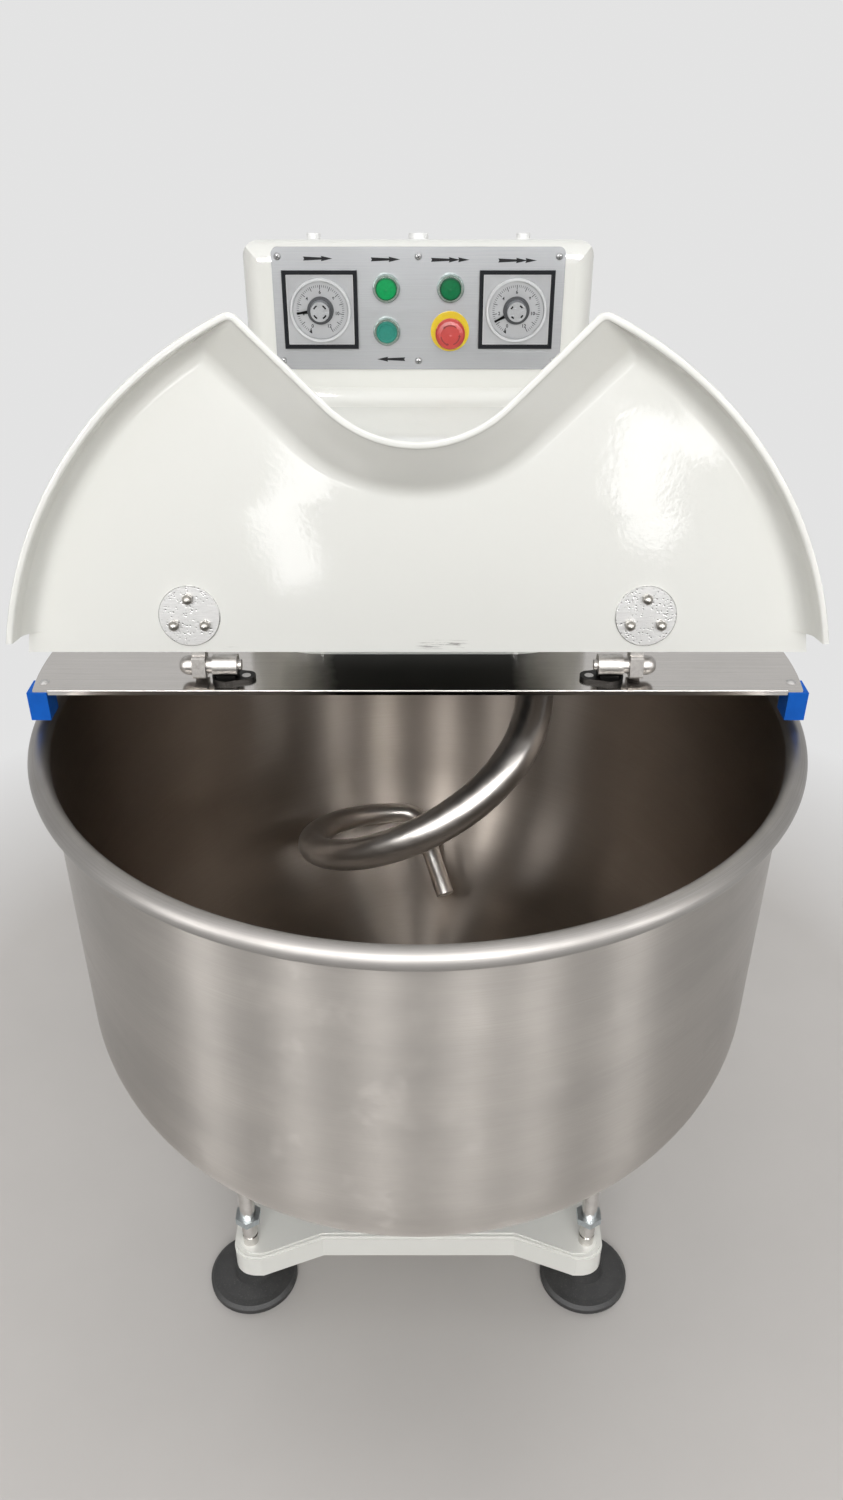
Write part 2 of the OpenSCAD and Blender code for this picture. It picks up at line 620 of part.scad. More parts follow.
// The skirt is a strip welded under the plate's curved edge.
module plate_skirt() color([0.62, 0.60, 0.58]) at_bowl()
    translate([0, 0, plate_z - plate_skirt]) difference() {
        linear_extrude(plate_skirt - plate_t) plate_plan(plate_r);
        translate([0, 0, -1]) cylinder(r = plate_r - plate_t, h = plate_skirt + 2, $fn = 128);
        // it starts behind the guide blocks
        translate([-plate_r - 1, fold_y - 1, -1]) cube([2 * plate_r + 2, 30, plate_skirt + 2]);
    }
function chord(r, d) = sqrt(r * r - d * d);
fold_x = chord(plate_r, plate_front) - 15.5;
screw_plate_x = chord(plate_r, plate_front) - 8;
screw_plate_y = -plate_front + 18;
module plate_screws() color([0.55, 0.55, 0.55]) at_bowl()
    for (s = [-1, 1]) translate([s * screw_plate_x, screw_plate_y, plate_z]) {
        intersection() {
            translate([0, 0, -5]) sphere(r = 7.5);
            cylinder(r = 5.5, h = 6);
        }
        translate([0, 0, -14]) cylinder(r = 3, h = 15);
    }
// Guide blocks hang under the plate's front corners, just over the rim.
block_h = plate_low - (rim_z + bead_d / 2) - 8;
module guide_blocks() color([0.10, 0.33, 0.78]) at_bowl() both() difference() {
    translate([fold_x + 1, fold_y - 1, plate_low - block_h]) cube([21, 28, block_h]);
    translate([screw_plate_x, screw_plate_y, plate_low - 12]) cylinder(r = 3 + run_gap, h = 20);
}

// ---- hinges ----
barrel_in = arm_x - 40;
barrel_l = 26;
screw_foot_x = barrel_in - 8;
module hinge_bearings() color([0.50, 0.49, 0.48]) at_bowl() both() difference() {
    union() {
        translate([barrel_in, -hinge_front, hinge_z]) rotate([0, 90, 0]) cylinder(r = barrel_r, h = barrel_l);
        // oval foot on the plate
        translate([0, -hinge_front, plate_z]) linear_extrude(4) {
            translate([barrel_in + barrel_l / 2, 0]) circle(r = 15.5);
            translate([screw_foot_x, 0]) circle(r = 10);
            polygon([[screw_foot_x, -10], [barrel_in + barrel_l / 2, -15.5],
                [barrel_in + barrel_l / 2, 15.5], [screw_foot_x, 10]]);
        }
        translate([barrel_in + 3, -hinge_front - 8, plate_z + 1]) cube([barrel_l - 6, 16, hinge_z - plate_z - 3]);
    }
    translate([barrel_in - 1, -hinge_front, hinge_z]) rotate([0, 90, 0])
        cylinder(r = hinge_pin_r + run_gap, h = barrel_l + 2);
    translate([screw_foot_x, -hinge_front, plate_z + 1.2]) cylinder(r1 = 2.2, r2 = 5.2, h = 3);
    translate([screw_foot_x, -hinge_front, plate_z - 1]) cylinder(r = 2.2, h = 10);
}
module bearing_screws() color([0.45, 0.44, 0.43]) at_bowl() both()
    translate([screw_foot_x, -hinge_front, plate_z]) {
        translate([0, 0, 1.2]) cylinder(r1 = 2.15, r2 = 4.8, h = 2.6);
        cylinder(r = 2.15, h = 2);
    }
module hinge_pins() color([0.60, 0.60, 0.60]) at_hinge() both() {
    translate([barrel_in - 4, 0, 0]) rotate([0, 90, 0]) cylinder(r = hinge_pin_r, h = arm_x + arm_w / 2 - barrel_in + 5);
    translate([barrel_in + barrel_l + free_gap, 0, 0]) rotate([0, 90, 0])
        cylinder(r = 9, h = arm_x - arm_w / 2 - barrel_in - barrel_l - 2 * free_gap);
    // domed cap outside the arm
    translate([arm_x + arm_w / 2 + 0.1, 0, 0]) rotate([0, 90, 0]) rotate_extrude() intersection() {
        union() { square([10.5, 5]); translate([0, 5]) scale(1) circle(r = 10.5); }
        square([10.5, 14]);
    }
}
module hinge_arms() color([0.58, 0.57, 0.56]) at_hinge() both() difference() {
    union() {
        // heel, rounded about the axis so that it swings clear of the plate
        intersection() {
            translate([arm_x - arm_w / 2, -12, -12]) cube([arm_w, 24, 23]);
            translate([arm_x - arm_w, 0, 0]) rotate([0, 90, 0])
                cylinder(r = hinge_z - plate_z - 2 * free_gap, h = 2 * arm_w);
        }
        // arm along the lid's outer face to the round flange
        translate([arm_x - arm_w / 2, -disc_out, -lid_top_drop]) cube([arm_w, disc_out, lid_top_drop + 5]);
        translate([disc_x, -disc_out, -lid_top_drop]) cylinder(r = disc_r, h = 6);
    }
    translate([arm_x - 20, 0, 0]) rotate([0, 90, 0]) cylinder(r = hinge_pin_r + run_gap, h = 40);
    // clamping slot and screw seat in the heel
    translate([arm_x - 20, 1, -0.8]) cube([40, 20, 1.6]);
    // relief that lets the block pass the lid's rear edge
    translate([arm_x - 20, -30, -20]) cube([40, 14, 20 - lid_top_drop]);
}
module arm_screws() color([0.66, 0.65, 0.64]) at_hinge() both()
    translate([arm_x, 9, 11]) cylinder(r = 4, h = 3);

// ---- lid ----
// The lid is a moulded tray. It is drawn closed: x to the right, l forward from the hinge axis.
// Flat outlines, one above the other, carry its walls: each is the skirt's circle set in by a
// and the notch set in by b, with the peak between them rounded by q.
notch_c = notch_low + notch_r;
lid_mid = [0, -hinge_front];
flank_u = [cos(notch_angle), sin(notch_angle)];
flank_w = [sin(notch_angle), -cos(notch_angle)];
function peak_at(a, b, q) = let (
        c = [0, notch_c] + (notch_r + b + q) * flank_w - lid_mid, cu = c * flank_u)
    lid_mid + c + flank_u * (sqrt(cu * cu - c * c + pow(lid_r - a - q, 2)) - cu);
n_notch = 12;
n_flank = 5;
n_peak = 4;
n_rim = 26;
function half_outline(a, b, q) = let (
        p = peak_at(a, b, q), f0 = [0, notch_c] + (notch_r + b) * flank_w, f1 = p - q * flank_w,
        n0 = atan2(-flank_w[0], flank_w[1]), o = unit(p - lid_mid), g0 = atan2(o[0], o[1]),
        s0 = 180 + atan2(flank_w[0], flank_w[1]), g1 = acos((skirt_start + hinge_front) / (lid_r - a)))
    concat(
        [for (i = [1:n_notch]) [0, notch_c] + (notch_r + b)
            * [sin(notch_angle * i / n_notch), -cos(notch_angle * i / n_notch)]],
        // the flank bows out by a hair, so that no three points lie in line
        [for (i = [1:n_flank]) let (t = i / n_flank) f0 + (f1 - f0) * t + kiss * 4 * t * (1 - t) * flank_w],
        [for (i = [1:n_peak]) let (t = s0 - 360 + (g0 - s0 + 360) * i / n_peak) p + q * [sin(t), cos(t)]],
        [for (i = [1:n_rim]) let (t = g0 + (g1 - g0) * i / n_rim) lid_mid + (lid_r - a) * [sin(t), cos(t)]]);
function outline(a, b, q) = let (h = half_outline(a, b, q), n = len(h))
    concat([for (i = [n - 1:-1:0]) [-h[i][0], h[i][1]]], [[0, notch_low - b]], h);
lip_edge = 1.5;
wall_bend = 25;
// How far the skirt's wall and the notch's wall are set in, h above the skirt's edge, for a
// panel at height t above it. Both run up steep or sloping and bend over into the panel.
function set_in(h, t, r) = h < t - r ? 0 : r - sqrt(max(0, r * r - pow(h - t + r, 2)));
function notch_in(h, t) = let (p = notch_slope, h1 = t - wall_bend * (1 - sin(p)),
        d1 = (h1 - 2 * lip_edge) * tan(p), s = min(1, sin(p) + (h - h1) / wall_bend))
    h < 2 * lip_edge ? 0 : h < h1 ? (h - 2 * lip_edge) * tan(p)
        : d1 + wall_bend * (cos(p) - sqrt(max(0, 1 - s * s)));
out_h = lid_edge_drop - lid_top_drop;
in_h = out_h - lid_t;
out_r = lid_fillet + lid_t;
bend_steps = [0.1, 0.3, 0.5, 0.7, 0.86, 0.96];
out_levels = concat([0, lip_edge, 2 * lip_edge, out_h - out_r],
    [for (f = [0.25, 0.5, 0.7]) out_h - out_r + f * (out_r - lid_t)], [in_h],
    [for (f = [0.35, 0.65, 0.88, 1]) in_h + f * lid_t]);
in_levels = concat([0, lip_edge, 2 * lip_edge, in_h - lid_fillet],
    [for (f = [0.28, 0.5, 0.68, 0.81, 0.91, 0.97, 1]) in_h - lid_fillet + f * lid_fillet]);
tab_level = 7;
// Which inner level faces each outer one, up to the tab.
pair = [0, 1, 2, 3, 5, 7, 8, 10];
function out_line(k) = let (h = out_levels[k], e = k == 0 ? lip_edge * 0.8 : 0)
    [for (p = outline(set_in(h, out_h, out_r) + e, notch_in(h, out_h) + e, peak_r - e))
        [p[0], -p[1], h - lid_edge_drop]];
function in_line(k) = let (h = in_levels[k], e = k == 0 ? lip_edge * 0.8 : 0)
    [for (p = outline(lip_t + 0.03 * h + set_in(h, in_h, lid_fillet) - e, lip_t + notch_in(h, in_h) - e,
        max(4, peak_r - lip_t + e))) [p[0], -p[1], h - lid_edge_drop]];
n_out = len(out_levels);
n_in = len(in_levels);
n_line = 2 * (n_notch + n_flank + n_peak + n_rim) + 1;
// Corners of the tab, from the left, at the rear edge.
function tab_x(k) = sqrt(pow(lid_r - set_in(out_levels[k], out_h, out_r), 2) - pow(tab_start + hinge_front, 2));
lid_points = concat(
    [for (k = [0:n_out - 1]) each out_line(k)],
    [for (k = [0:n_in - 1]) each in_line(k)],
    [for (k = [tab_level:n_out - 1], s = [-1, 1])
        [s * tab_x(k), -tab_start, out_levels[k] - lid_edge_drop]],
    // middles of the top and of the underside
    [for (h = [out_h, in_h]) [0, -0.42 * notch_low, h - lid_edge_drop]]);
function op(k, i) = k * n_line + i;
function ip(k, i) = (n_out + k) * n_line + i;
function tp(k, s) = (n_out + n_in) * n_line + 2 * (k - tab_level) + s;
function mp(s) = (n_out + n_in) * n_line + 2 * (n_out - tab_level) + s;
last_i = n_line - 1;
top_loop = concat([for (i = [0:last_i]) op(n_out - 1, i)], [tp(n_out - 1, 1), tp(n_out - 1, 0)]);
under_loop = [for (i = [last_i:-1:0]) ip(n_in - 1, i)];
function fan(c, loop) = [for (i = [0:len(loop) - 1]) [c, loop[i], loop[(i + 1) % len(loop)]]];
lid_faces = concat(
    [for (k = [0:n_out - 2], i = [0:last_i - 1]) each
        [[op(k, i), op(k, i + 1), op(k + 1, i + 1)], [op(k, i), op(k + 1, i + 1), op(k + 1, i)]]],
    [for (k = [0:n_in - 2], i = [0:last_i - 1]) each
        [[ip(k, i), ip(k + 1, i + 1), ip(k, i + 1)], [ip(k, i), ip(k + 1, i), ip(k + 1, i + 1)]]],
    // the lip
    [for (i = [0:last_i - 1]) each
        [[op(0, i), ip(0, i), ip(0, i + 1)], [op(0, i), ip(0, i + 1), op(0, i + 1)]]],
    // top, and underside with the tab
    fan(mp(0), top_loop), fan(mp(1), under_loop),
    [[op(tab_level, 0), tp(tab_level, 0), ip(n_in - 1, 0)],
        [ip(n_in - 1, 0), tp(tab_level, 0), tp(tab_level, 1)],
        [ip(n_in - 1, 0), tp(tab_level, 1), ip(n_in - 1, last_i)],
        [ip(n_in - 1, last_i), tp(tab_level, 1), op(tab_level, last_i)]],
    // rear ends of the skirt
    [for (k = [0:tab_level - 1]) each [[op(k, 0), op(k + 1, 0), ip(pair[k], 0)]]],
    [for (k = [0:tab_level - 1], j = [pair[k]:pair[k + 1] - 1]) [ip(j, 0), op(k + 1, 0), ip(j + 1, 0)]],
    [for (k = [0:tab_level - 1]) each [[op(k + 1, last_i), op(k, last_i), ip(pair[k], last_i)]]],
    [for (k = [0:tab_level - 1], j = [pair[k]:pair[k + 1] - 1])
        [op(k + 1, last_i), ip(j, last_i), ip(j + 1, last_i)]],
    // sides and rear edge of the tab
    [for (k = [tab_level:n_out - 2]) [tp(k, 0), op(k, 0), op(k + 1, 0), tp(k + 1, 0)]],
    [for (k = [tab_level:n_out - 2]) [op(k, last_i), tp(k, 1), tp(k + 1, 1), op(k + 1, last_i)]],
    [concat([for (k = [tab_level:n_out - 1]) tp(k, 0)], [for (k = [n_out - 1:-1:tab_level]) tp(k, 1)])]);
module lid_shell() color([0.92, 0.92, 0.89]) at_hinge() polyhedron(points = lid_points, faces = lid_faces);
module lid_discs() color([0.78, 0.78, 0.77]) at_hinge() both()
    translate([disc_x, -disc_out, -lid_top_drop - lid_t - 2.5]) rotate_extrude() polygon([[0, 0],
        [disc_r - 1, 0], [disc_r, 1], [disc_r, 2.5], [0, 2.5]]);
nut_pcd = 18.5;
module cap_nuts() color([0.70, 0.69, 0.67]) at_hinge() both()
    for (a = [-90, 30, 150]) translate([disc_x, -disc_out, -lid_top_drop - lid_t - 2.5]) rotate(a)
        translate([nut_pcd, 0, 0]) mirror([0, 0, 1]) {
            hex(10, 5);
            intersection() { translate([0, 0, 3.5]) sphere(r = 5); cylinder(r = 5, h = 10); }
        }

// ---- control panel ----
screw_x = panel_w / 2 - 8;
screw_dz = panel_h / 2 - 11;
module control_panel() color([0.74, 0.75, 0.76]) at_bowl() on_panel(0, panel_z) translate([0, 0, -panel_t])
    difference() {
        linear_extrude(panel_t) round_rect(panel_w, panel_h, 8);
        for (x = [-1, 1]) {
            translate([x * timer_x - 44, -44, -1]) cube([88, 88, panel_t + 2]);
            for (z = [-1, 1]) translate([x * button_x, z * button_dz, -1]) cylinder(r = 11.5, h = 10);
        }
        for (x = [-1, 0, 1], z = [-1, 1]) translate([x * screw_x, z * screw_dz, -1])
            cylinder(r = 2 + run_gap, h = 10);
    }
module panel_screws() color([0.66, 0.66, 0.66]) at_bowl()
    for (x = [-1, 0, 1], z = [-1, 1]) on_panel(x * screw_x, panel_z + z * screw_dz) {
        intersection() { translate([0, 0, -2]) sphere(r = 5); cylinder(r = 4.5, h = 4); }
        translate([0, 0, -panel_t - 5]) cylinder(r = 2, h = panel_t + 6);
    }
module at_timers() { at_bowl() for (x = [-1, 1]) on_panel(x * timer_x, panel_z) children(); }
module timer_frames() color([0.06, 0.06, 0.07]) at_timers() {
    difference() {
        translate([-timer_s / 2, -timer_s / 2, 0]) cube([timer_s, timer_s, 4]);
        translate([-timer_s / 2 + 4.5, -timer_s / 2 + 4.5, -1]) cube([timer_s - 9, timer_s - 9, 10]);
    }
    // case behind the panel
    difference() {
        translate([-43.5, -43.5, -60]) cube([87, 87, 60]);
        translate([-41, -41, -57]) cube([82, 82, 60]);
    }
}
module timer_faces() color([0.66, 0.66, 0.67]) at_timers() {
    translate([-timer_s / 2 + 4.8, -timer_s / 2 + 4.8, 0.3]) cube([timer_s - 9.6, timer_s - 9.6, 2]);
    difference() {
        translate([0, 0, 2]) cylinder(r = 35, h = 1.5);
        translate([0, 0, 2.5]) cylinder(r = 4, h = 3);
    }
}
module timer_lenses() color([0.85, 0.87, 0.88, 0.5]) at_timers() rotate_extrude()
    polygon([[35.6, 2.3], [39.5, 2.3], [39.5, 6], [38.5, 8], [36.5, 8], [35.6, 7]]);
// Knob with a dark skirt, a pointer blade and four grip notches.
module timer_knob(x, a) color([0.75, 0.76, 0.77]) at_bowl() on_panel(x, panel_z) rotate(-a) {
    difference() {
        union() {
            translate([0, 0, 3.8]) cylinder(r = 17, h = 3);
            translate([0, 0, 6.7]) cylinder(r1 = 13, r2 = 12, h = 9);
            translate([0, 0, 3.8]) linear_extrude(1.6) polygon([[-2.2, 15], [2.2, 15], [0.8, 31], [-0.8, 31]]);
        }
        for (q = [0:90:270]) rotate(q) translate([-1.5, 5, 14]) cube([3, 5, 3]);
    }
    translate([0, 0, 2.8]) cylinder(r = 3.8, h = 2);
}
module timer_knob_left() timer_knob(-timer_x, -97);
module timer_knob_right() timer_knob(timer_x, -117);
button_spots = [[-1, 1], [1, 1], [-1, -1]];
module button_bezels() color([0.55, 0.60, 0.58]) at_bowl()
    for (p = button_spots) on_panel(p[0] * button_x, panel_z + p[1] * button_dz) rotate_extrude()
        polygon([[button_r + run_gap, 0], [17.5, 0], [17.5, 4], [16, 7], [button_r + run_gap, 7]]);
module button(x, z, flat) at_bowl() on_panel(x, z) {
    rotate_extrude() polygon(flat ? [[0, 4], [button_r, 4], [button_r, 8], [12.6, 9], [11, 9], [9.5, 7.6], [0, 7.6]]
        : [[0, 4], [button_r, 4], [button_r, 9.4], [12.4, 10.6], [0, 11.2]]);
    translate([0, 0, -15]) cylinder(r = 10, h = 19.5);
}
module start_button() color([0.05, 0.62, 0.27]) button(-button_x, panel_z + button_dz, false);
module second_button() color([0.04, 0.40, 0.22]) button(button_x, panel_z + button_dz, false);
module reverse_button() color([0.16, 0.50, 0.42]) button(-button_x, panel_z - button_dz, true);
module stop_plate() color([0.96, 0.76, 0.10]) at_bowl() on_panel(button_x, panel_z - button_dz) difference() {
    union() { cylinder(r = 25, h = 1.6); cylinder(r = 15.5, h = 6); }
    translate([0, 0, -1]) cylinder(r = 10 + run_gap, h = 10);
}
module stop_stem() color([0.80, 0.80, 0.80]) at_bowl() on_panel(button_x, panel_z - button_dz) {
    translate([0, 0, -15]) cylinder(r = 10, h = 25.7);
    translate([0, 0, 10]) cylinder(r = 6, h = 9);
}
// The mushroom head twists on its stem to let go.
module stop_button() color([0.85, 0.14, 0.12]) at_bowl() on_panel(button_x, panel_z - button_dz) rotate_extrude()
    polygon([[6 + run_gap, 11], [stop_r - 3, 11], [stop_r, 14], [stop_r, 19], [stop_r - 2.5, 22.5],
        [stop_r - 7, 24.5], [0, 25], [0, 19.3], [6 + run_gap, 19.3]]);

// ---- small pieces on the housing ----
module top_caps() color([0.94, 0.94, 0.93]) at_bowl()
    for (x = [-1, 0, 1]) translate([x * 138, col_front, col_top]) rotate([-top_slope, 0, 0])
        translate([0, 80, 0]) cylinder(r = x == 0 ? 13 : 9, h = 9);
module cable_gland() color([0.12, 0.12, 0.13]) at_bowl() translate([-120, col_back, cover_low + 50])
    rotate([-90, 0, 0]) difference() {
        union() {
            translate([0, 0, -12]) cylinder(r = 11, h = 14);
            translate([0, 0, -2]) hex(28, 9);
            cylinder(r = 12, h = gland_l - 3);
            translate([0, 0, gland_l - 3.01]) cylinder(r1 = 12, r2 = 8, h = 3.01);
        }
        translate([0, 0, -20]) cylinder(r = 5, h = 60);
    }

base_casting();
foot_pads();
foot_spindles();
column_shell();
rear_cover();
cover_screws();
head_shell();
cover_plate();
plate_skirt();
plate_screws();
guide_blocks();
support_posts();
post_nuts();
roller_forks();
roller_left();
roller_right();
hinge_bearings();
bearing_screws();
control_panel();
panel_screws();
timer_frames();
timer_faces();
timer_lenses();
timer_knob_left();
timer_knob_right();
button_bezels();
start_button();
second_button();
reverse_button();
stop_plate();
stop_stem();
stop_button();
top_caps();
cable_gland();
bowl_shell();
bowl_hub();
bowl_pulley();
bowl_bearing();
bowl_motor();
bowl_motor_pulley();
bowl_belt();
spiral_arm();
spiral_shaft();
spiral_pulley();
spiral_bearings();
spiral_motor();
spiral_motor_pulley();
spiral_belt();
lid_shell();
hinge_arms();
hinge_pins();
arm_screws();
lid_discs();
cap_nuts();
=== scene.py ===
# Looks of a floor-standing spiral dough mixer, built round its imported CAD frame.
import math

import bmesh
import bpy
import numpy as np
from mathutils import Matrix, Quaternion, Vector


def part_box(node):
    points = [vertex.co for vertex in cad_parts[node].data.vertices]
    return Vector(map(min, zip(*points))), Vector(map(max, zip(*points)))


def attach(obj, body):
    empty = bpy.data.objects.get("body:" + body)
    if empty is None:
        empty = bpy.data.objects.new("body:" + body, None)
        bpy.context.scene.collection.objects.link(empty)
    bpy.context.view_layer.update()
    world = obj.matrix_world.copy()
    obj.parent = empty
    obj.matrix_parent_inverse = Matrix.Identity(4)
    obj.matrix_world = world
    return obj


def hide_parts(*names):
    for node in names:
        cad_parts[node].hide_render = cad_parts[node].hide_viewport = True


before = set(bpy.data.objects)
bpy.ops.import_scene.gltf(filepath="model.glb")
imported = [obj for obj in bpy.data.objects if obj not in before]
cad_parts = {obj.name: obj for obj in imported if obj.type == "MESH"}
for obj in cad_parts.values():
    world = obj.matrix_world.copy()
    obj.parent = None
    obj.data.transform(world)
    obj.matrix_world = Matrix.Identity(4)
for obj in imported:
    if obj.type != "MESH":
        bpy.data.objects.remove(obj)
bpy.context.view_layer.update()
print("frame loaded:", len(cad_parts), "nodes")

bowlY = -0.206  # the bowl's axis stands this far in front of the frame's middle
spiralY = bowlY + 0.190
hingeFront = 0.030  # the lid's hinge axis stands this far in front of the bowl's axis
hingeY = bowlY - hingeFront
hingeZ = 0.919
panelY = bowlY + 0.4445  # face of the control panel
panelZ = 1.1855

viewPoint = {"place": (0.004, -1.3205, 1.49), "tiltDown": 32.0, "lens": 27.6}


def newObject(name, data):
    # a mesh, lamp or camera in the scene, at the origin until it is placed
    made = bpy.data.objects.new(name, data)
    bpy.context.scene.collection.objects.link(made)
    return made


def makeCamera(v):
    # looks along +y, tilted down from the level
    data = bpy.data.cameras.new("viewCamera")
    data.lens = v["lens"]
    data.sensor_width = 36
    data.clip_start, data.clip_end = 0.02, 200
    cam = newObject("viewCamera", data)
    cam.location = v["place"]
    cam.rotation_euler = (math.radians(90 - v["tiltDown"]), 0, 0)
    bpy.context.scene.camera = cam


makeCamera(viewPoint)
bpy.context.scene.view_settings.view_transform = "Standard"


def meshFromArrays(name, points, quads, tris, creaseAngle):
    # points and faces as whole arrays into one mesh, shaded smooth up to a crease angle
    mesh = bpy.data.meshes.new(name)
    quads, tris = quads.astype(np.int32), tris.astype(np.int32)
    mesh.vertices.add(len(points))
    mesh.vertices.foreach_set("co", points.astype(np.float32).ravel())
    loops = np.concatenate([quads.ravel(), tris.ravel()])
    mesh.loops.add(len(loops))
    mesh.loops.foreach_set("vertex_index", loops)
    starts = np.concatenate([np.arange(len(quads)) * 4, len(quads) * 4 + np.arange(len(tris)) * 3])
    mesh.polygons.add(len(starts))
    mesh.polygons.foreach_set("loop_start", starts.astype(np.int32))
    mesh.polygons.foreach_set("use_smooth", np.ones(len(starts), bool))
    mesh.update(calc_edges=True)
    mesh.validate()
    mesh.set_sharp_from_angle(angle=math.radians(creaseAngle))
    return newObject(name, mesh)


def closedPiece(name, points, faces, finish, creaseAngle=None):
    # a closed mesh from points and polygons, its normals turned outwards
    mesh = bpy.data.meshes.new(name)
    mesh.from_pydata(np.asarray(points).tolist(), [], faces)
    made = bmesh.new()
    made.from_mesh(mesh)
    bmesh.ops.recalc_face_normals(made, faces=made.faces)
    made.to_mesh(mesh)
    made.free()
    if creaseAngle:
        mesh.polygons.foreach_set("use_smooth", np.ones(len(mesh.polygons), bool))
        mesh.set_sharp_from_angle(angle=math.radians(creaseAngle))
    mesh.materials.append(finish)
    return newObject(name, mesh)


def gridFaces(rows, cols, closeCols=False, offset=0):
    # quads of a grid of rows x cols points; closed columns run on to the first one
    i, j = np.arange(rows - 1), np.arange(cols if closeCols else cols - 1)
    a, b = np.meshgrid(i, j, indexing="ij")
    c, d = a + 1, (b + 1) % cols
    corners = [a * cols + b, c * cols + b, c * cols + d, a * cols + d]
    return (np.stack(corners, -1) + offset).reshape(-1, 4)


def fanFaces(ring, centre, flip=False):
    # triangles from a closed ring of point numbers to one centre point
    ring = np.asarray(ring)
    nxt = np.roll(ring, -1)
    mid = np.full(len(ring), centre)
    return np.stack([nxt, ring, mid] if flip else [ring, nxt, mid], -1)


def turnedPiece(name, profile, centre, turns, crease):
    # a profile of (radius, height) carried round the upright axis, (r cos t, r sin t, height);
    # it begins and ends on the axis, where each end closes at a pole
    t = np.linspace(0, 2 * np.pi, turns, endpoint=False)
    body = profile[1:-1]
    r, h = body[:, 0][:, None], body[:, 1][:, None]
    rings = np.stack([r * np.cos(t), r * np.sin(t), h + 0 * t], -1).reshape(-1, 3)
    poles = [[0, 0, profile[0, 1]], [0, 0, profile[-1, 1]]]
    quads = gridFaces(len(body), turns, closeCols=True)[:, ::-1]
    last = np.arange(turns) + (len(body) - 1) * turns
    tris = np.vstack([fanFaces(np.arange(turns), len(rings), flip=True),
                      fanFaces(last, len(rings) + 1)])
    return meshFromArrays(name, np.vstack([rings, poles]) + centre, quads, tris, crease)


def arcPoints(cx, cy, r, a0, a1, n):
    # n points on an arc about (cx, cy) from angle a0 to a1 in degrees
    a = np.radians(np.linspace(a0, a1, n))
    return np.stack([cx + r * np.cos(a), cy + r * np.sin(a)], -1)


def seat(piece, body, slotName, *nodes):
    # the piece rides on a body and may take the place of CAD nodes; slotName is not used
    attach(piece, body)
    if nodes:
        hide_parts(*nodes)
    return piece


def startFinish(name, colour, roughness, metallic=0.0, **more):
    # a Principled surface whose even values sit on its own sockets
    material = bpy.data.materials.new(name)
    material.use_nodes = True
    shader = material.node_tree.nodes["Principled BSDF"]
    shader.inputs["Base Color"].default_value = (*colour, 1)
    shader.inputs["Roughness"].default_value = roughness
    shader.inputs["Metallic"].default_value = metallic
    for key, value in more.items():
        shader.inputs[{"coat": "Coat Weight", "coatRoughness": "Coat Roughness", "ior": "IOR",
                       "anisotropic": "Anisotropic", "anisotropicTurn": "Anisotropic Rotation",
                       "transmission": "Transmission Weight",
                       "specular": "Specular IOR Level"}[key]].default_value = value
    return material, material.node_tree, shader


def objectPlace(tree, stretch=(1, 1, 1), centre=(0, 0, 0)):
    # (place - centre) times stretch, on the piece's own coordinates
    place = tree.nodes.new("ShaderNodeTexCoord")
    mapping = tree.nodes.new("ShaderNodeMapping")
    mapping.inputs["Location"].default_value = [-c * s for c, s in zip(centre, stretch)]
    mapping.inputs["Scale"].default_value = stretch
    tree.links.new(place.outputs["Object"], mapping.inputs["Vector"])
    return mapping.outputs["Vector"]


def splitOf(tree, vector):
    # x, y and z of a vector
    parts = tree.nodes.new("ShaderNodeSeparateXYZ")
    tree.links.new(vector, parts.inputs[0])
    return parts.outputs


def lengthOf(tree, vector):
    # the root of x x + y y + z z
    length = tree.nodes.new("ShaderNodeVectorMath")
    length.operation = "LENGTH"
    tree.links.new(vector, length.inputs[0])
    return length.outputs["Value"]


def noiseOf(tree, place, scale, detail=3.0, rough=0.55):
    noise = tree.nodes.new("ShaderNodeTexNoise")
    noise.inputs["Scale"].default_value = scale
    noise.inputs["Detail"].default_value = detail
    noise.inputs["Roughness"].default_value = rough
    tree.links.new(place, noise.inputs["Vector"])
    return noise.outputs["Fac"]


def rangeOf(tree, value, low, high, toLow, toHigh):
    # low to high becomes toLow to toHigh, held at both ends
    mapped = tree.nodes.new("ShaderNodeMapRange")
    ends = {"From Min": low, "From Max": high, "To Min": toLow, "To Max": toHigh}
    for key, number in ends.items():
        mapped.inputs[key].default_value = number
    tree.links.new(value, mapped.inputs["Value"])
    return mapped.outputs["Result"]


def mathOf(tree, kind, a, b=None):
    # one sum; each side is a number or a socket
    step = tree.nodes.new("ShaderNodeMath")
    step.operation = kind
    for k, v in enumerate((a, b)):
        if v is None:
            continue
        if isinstance(v, (int, float)):
            step.inputs[k].default_value = v
        else:
            tree.links.new(v, step.inputs[k])
    return step.outputs[0]


def blendColours(tree, amount, first, second):
    # first where amount is 0, second where it is 1; each is a colour or a socket
    mix = tree.nodes.new("ShaderNodeMix")
    mix.data_type = "RGBA"
    for key, v in ((6, first), (7, second)):
        if isinstance(v, tuple):
            mix.inputs[key].default_value = (*v, 1)
        else:
            tree.links.new(v, mix.inputs[key])
    tree.links.new(amount, mix.inputs[0])
    return mix.outputs[2]


def bumpInto(tree, shader, height, depth, strength=1.0):
    # a height in metres of depth bends the surface's normal
    bump = tree.nodes.new("ShaderNodeBump")
    bump.inputs["Distance"].default_value = depth
    bump.inputs["Strength"].default_value = strength
    tree.links.new(height, bump.inputs["Height"])
    tree.links.new(bump.outputs["Normal"], shader.inputs["Normal"])
    return bump.outputs["Normal"]


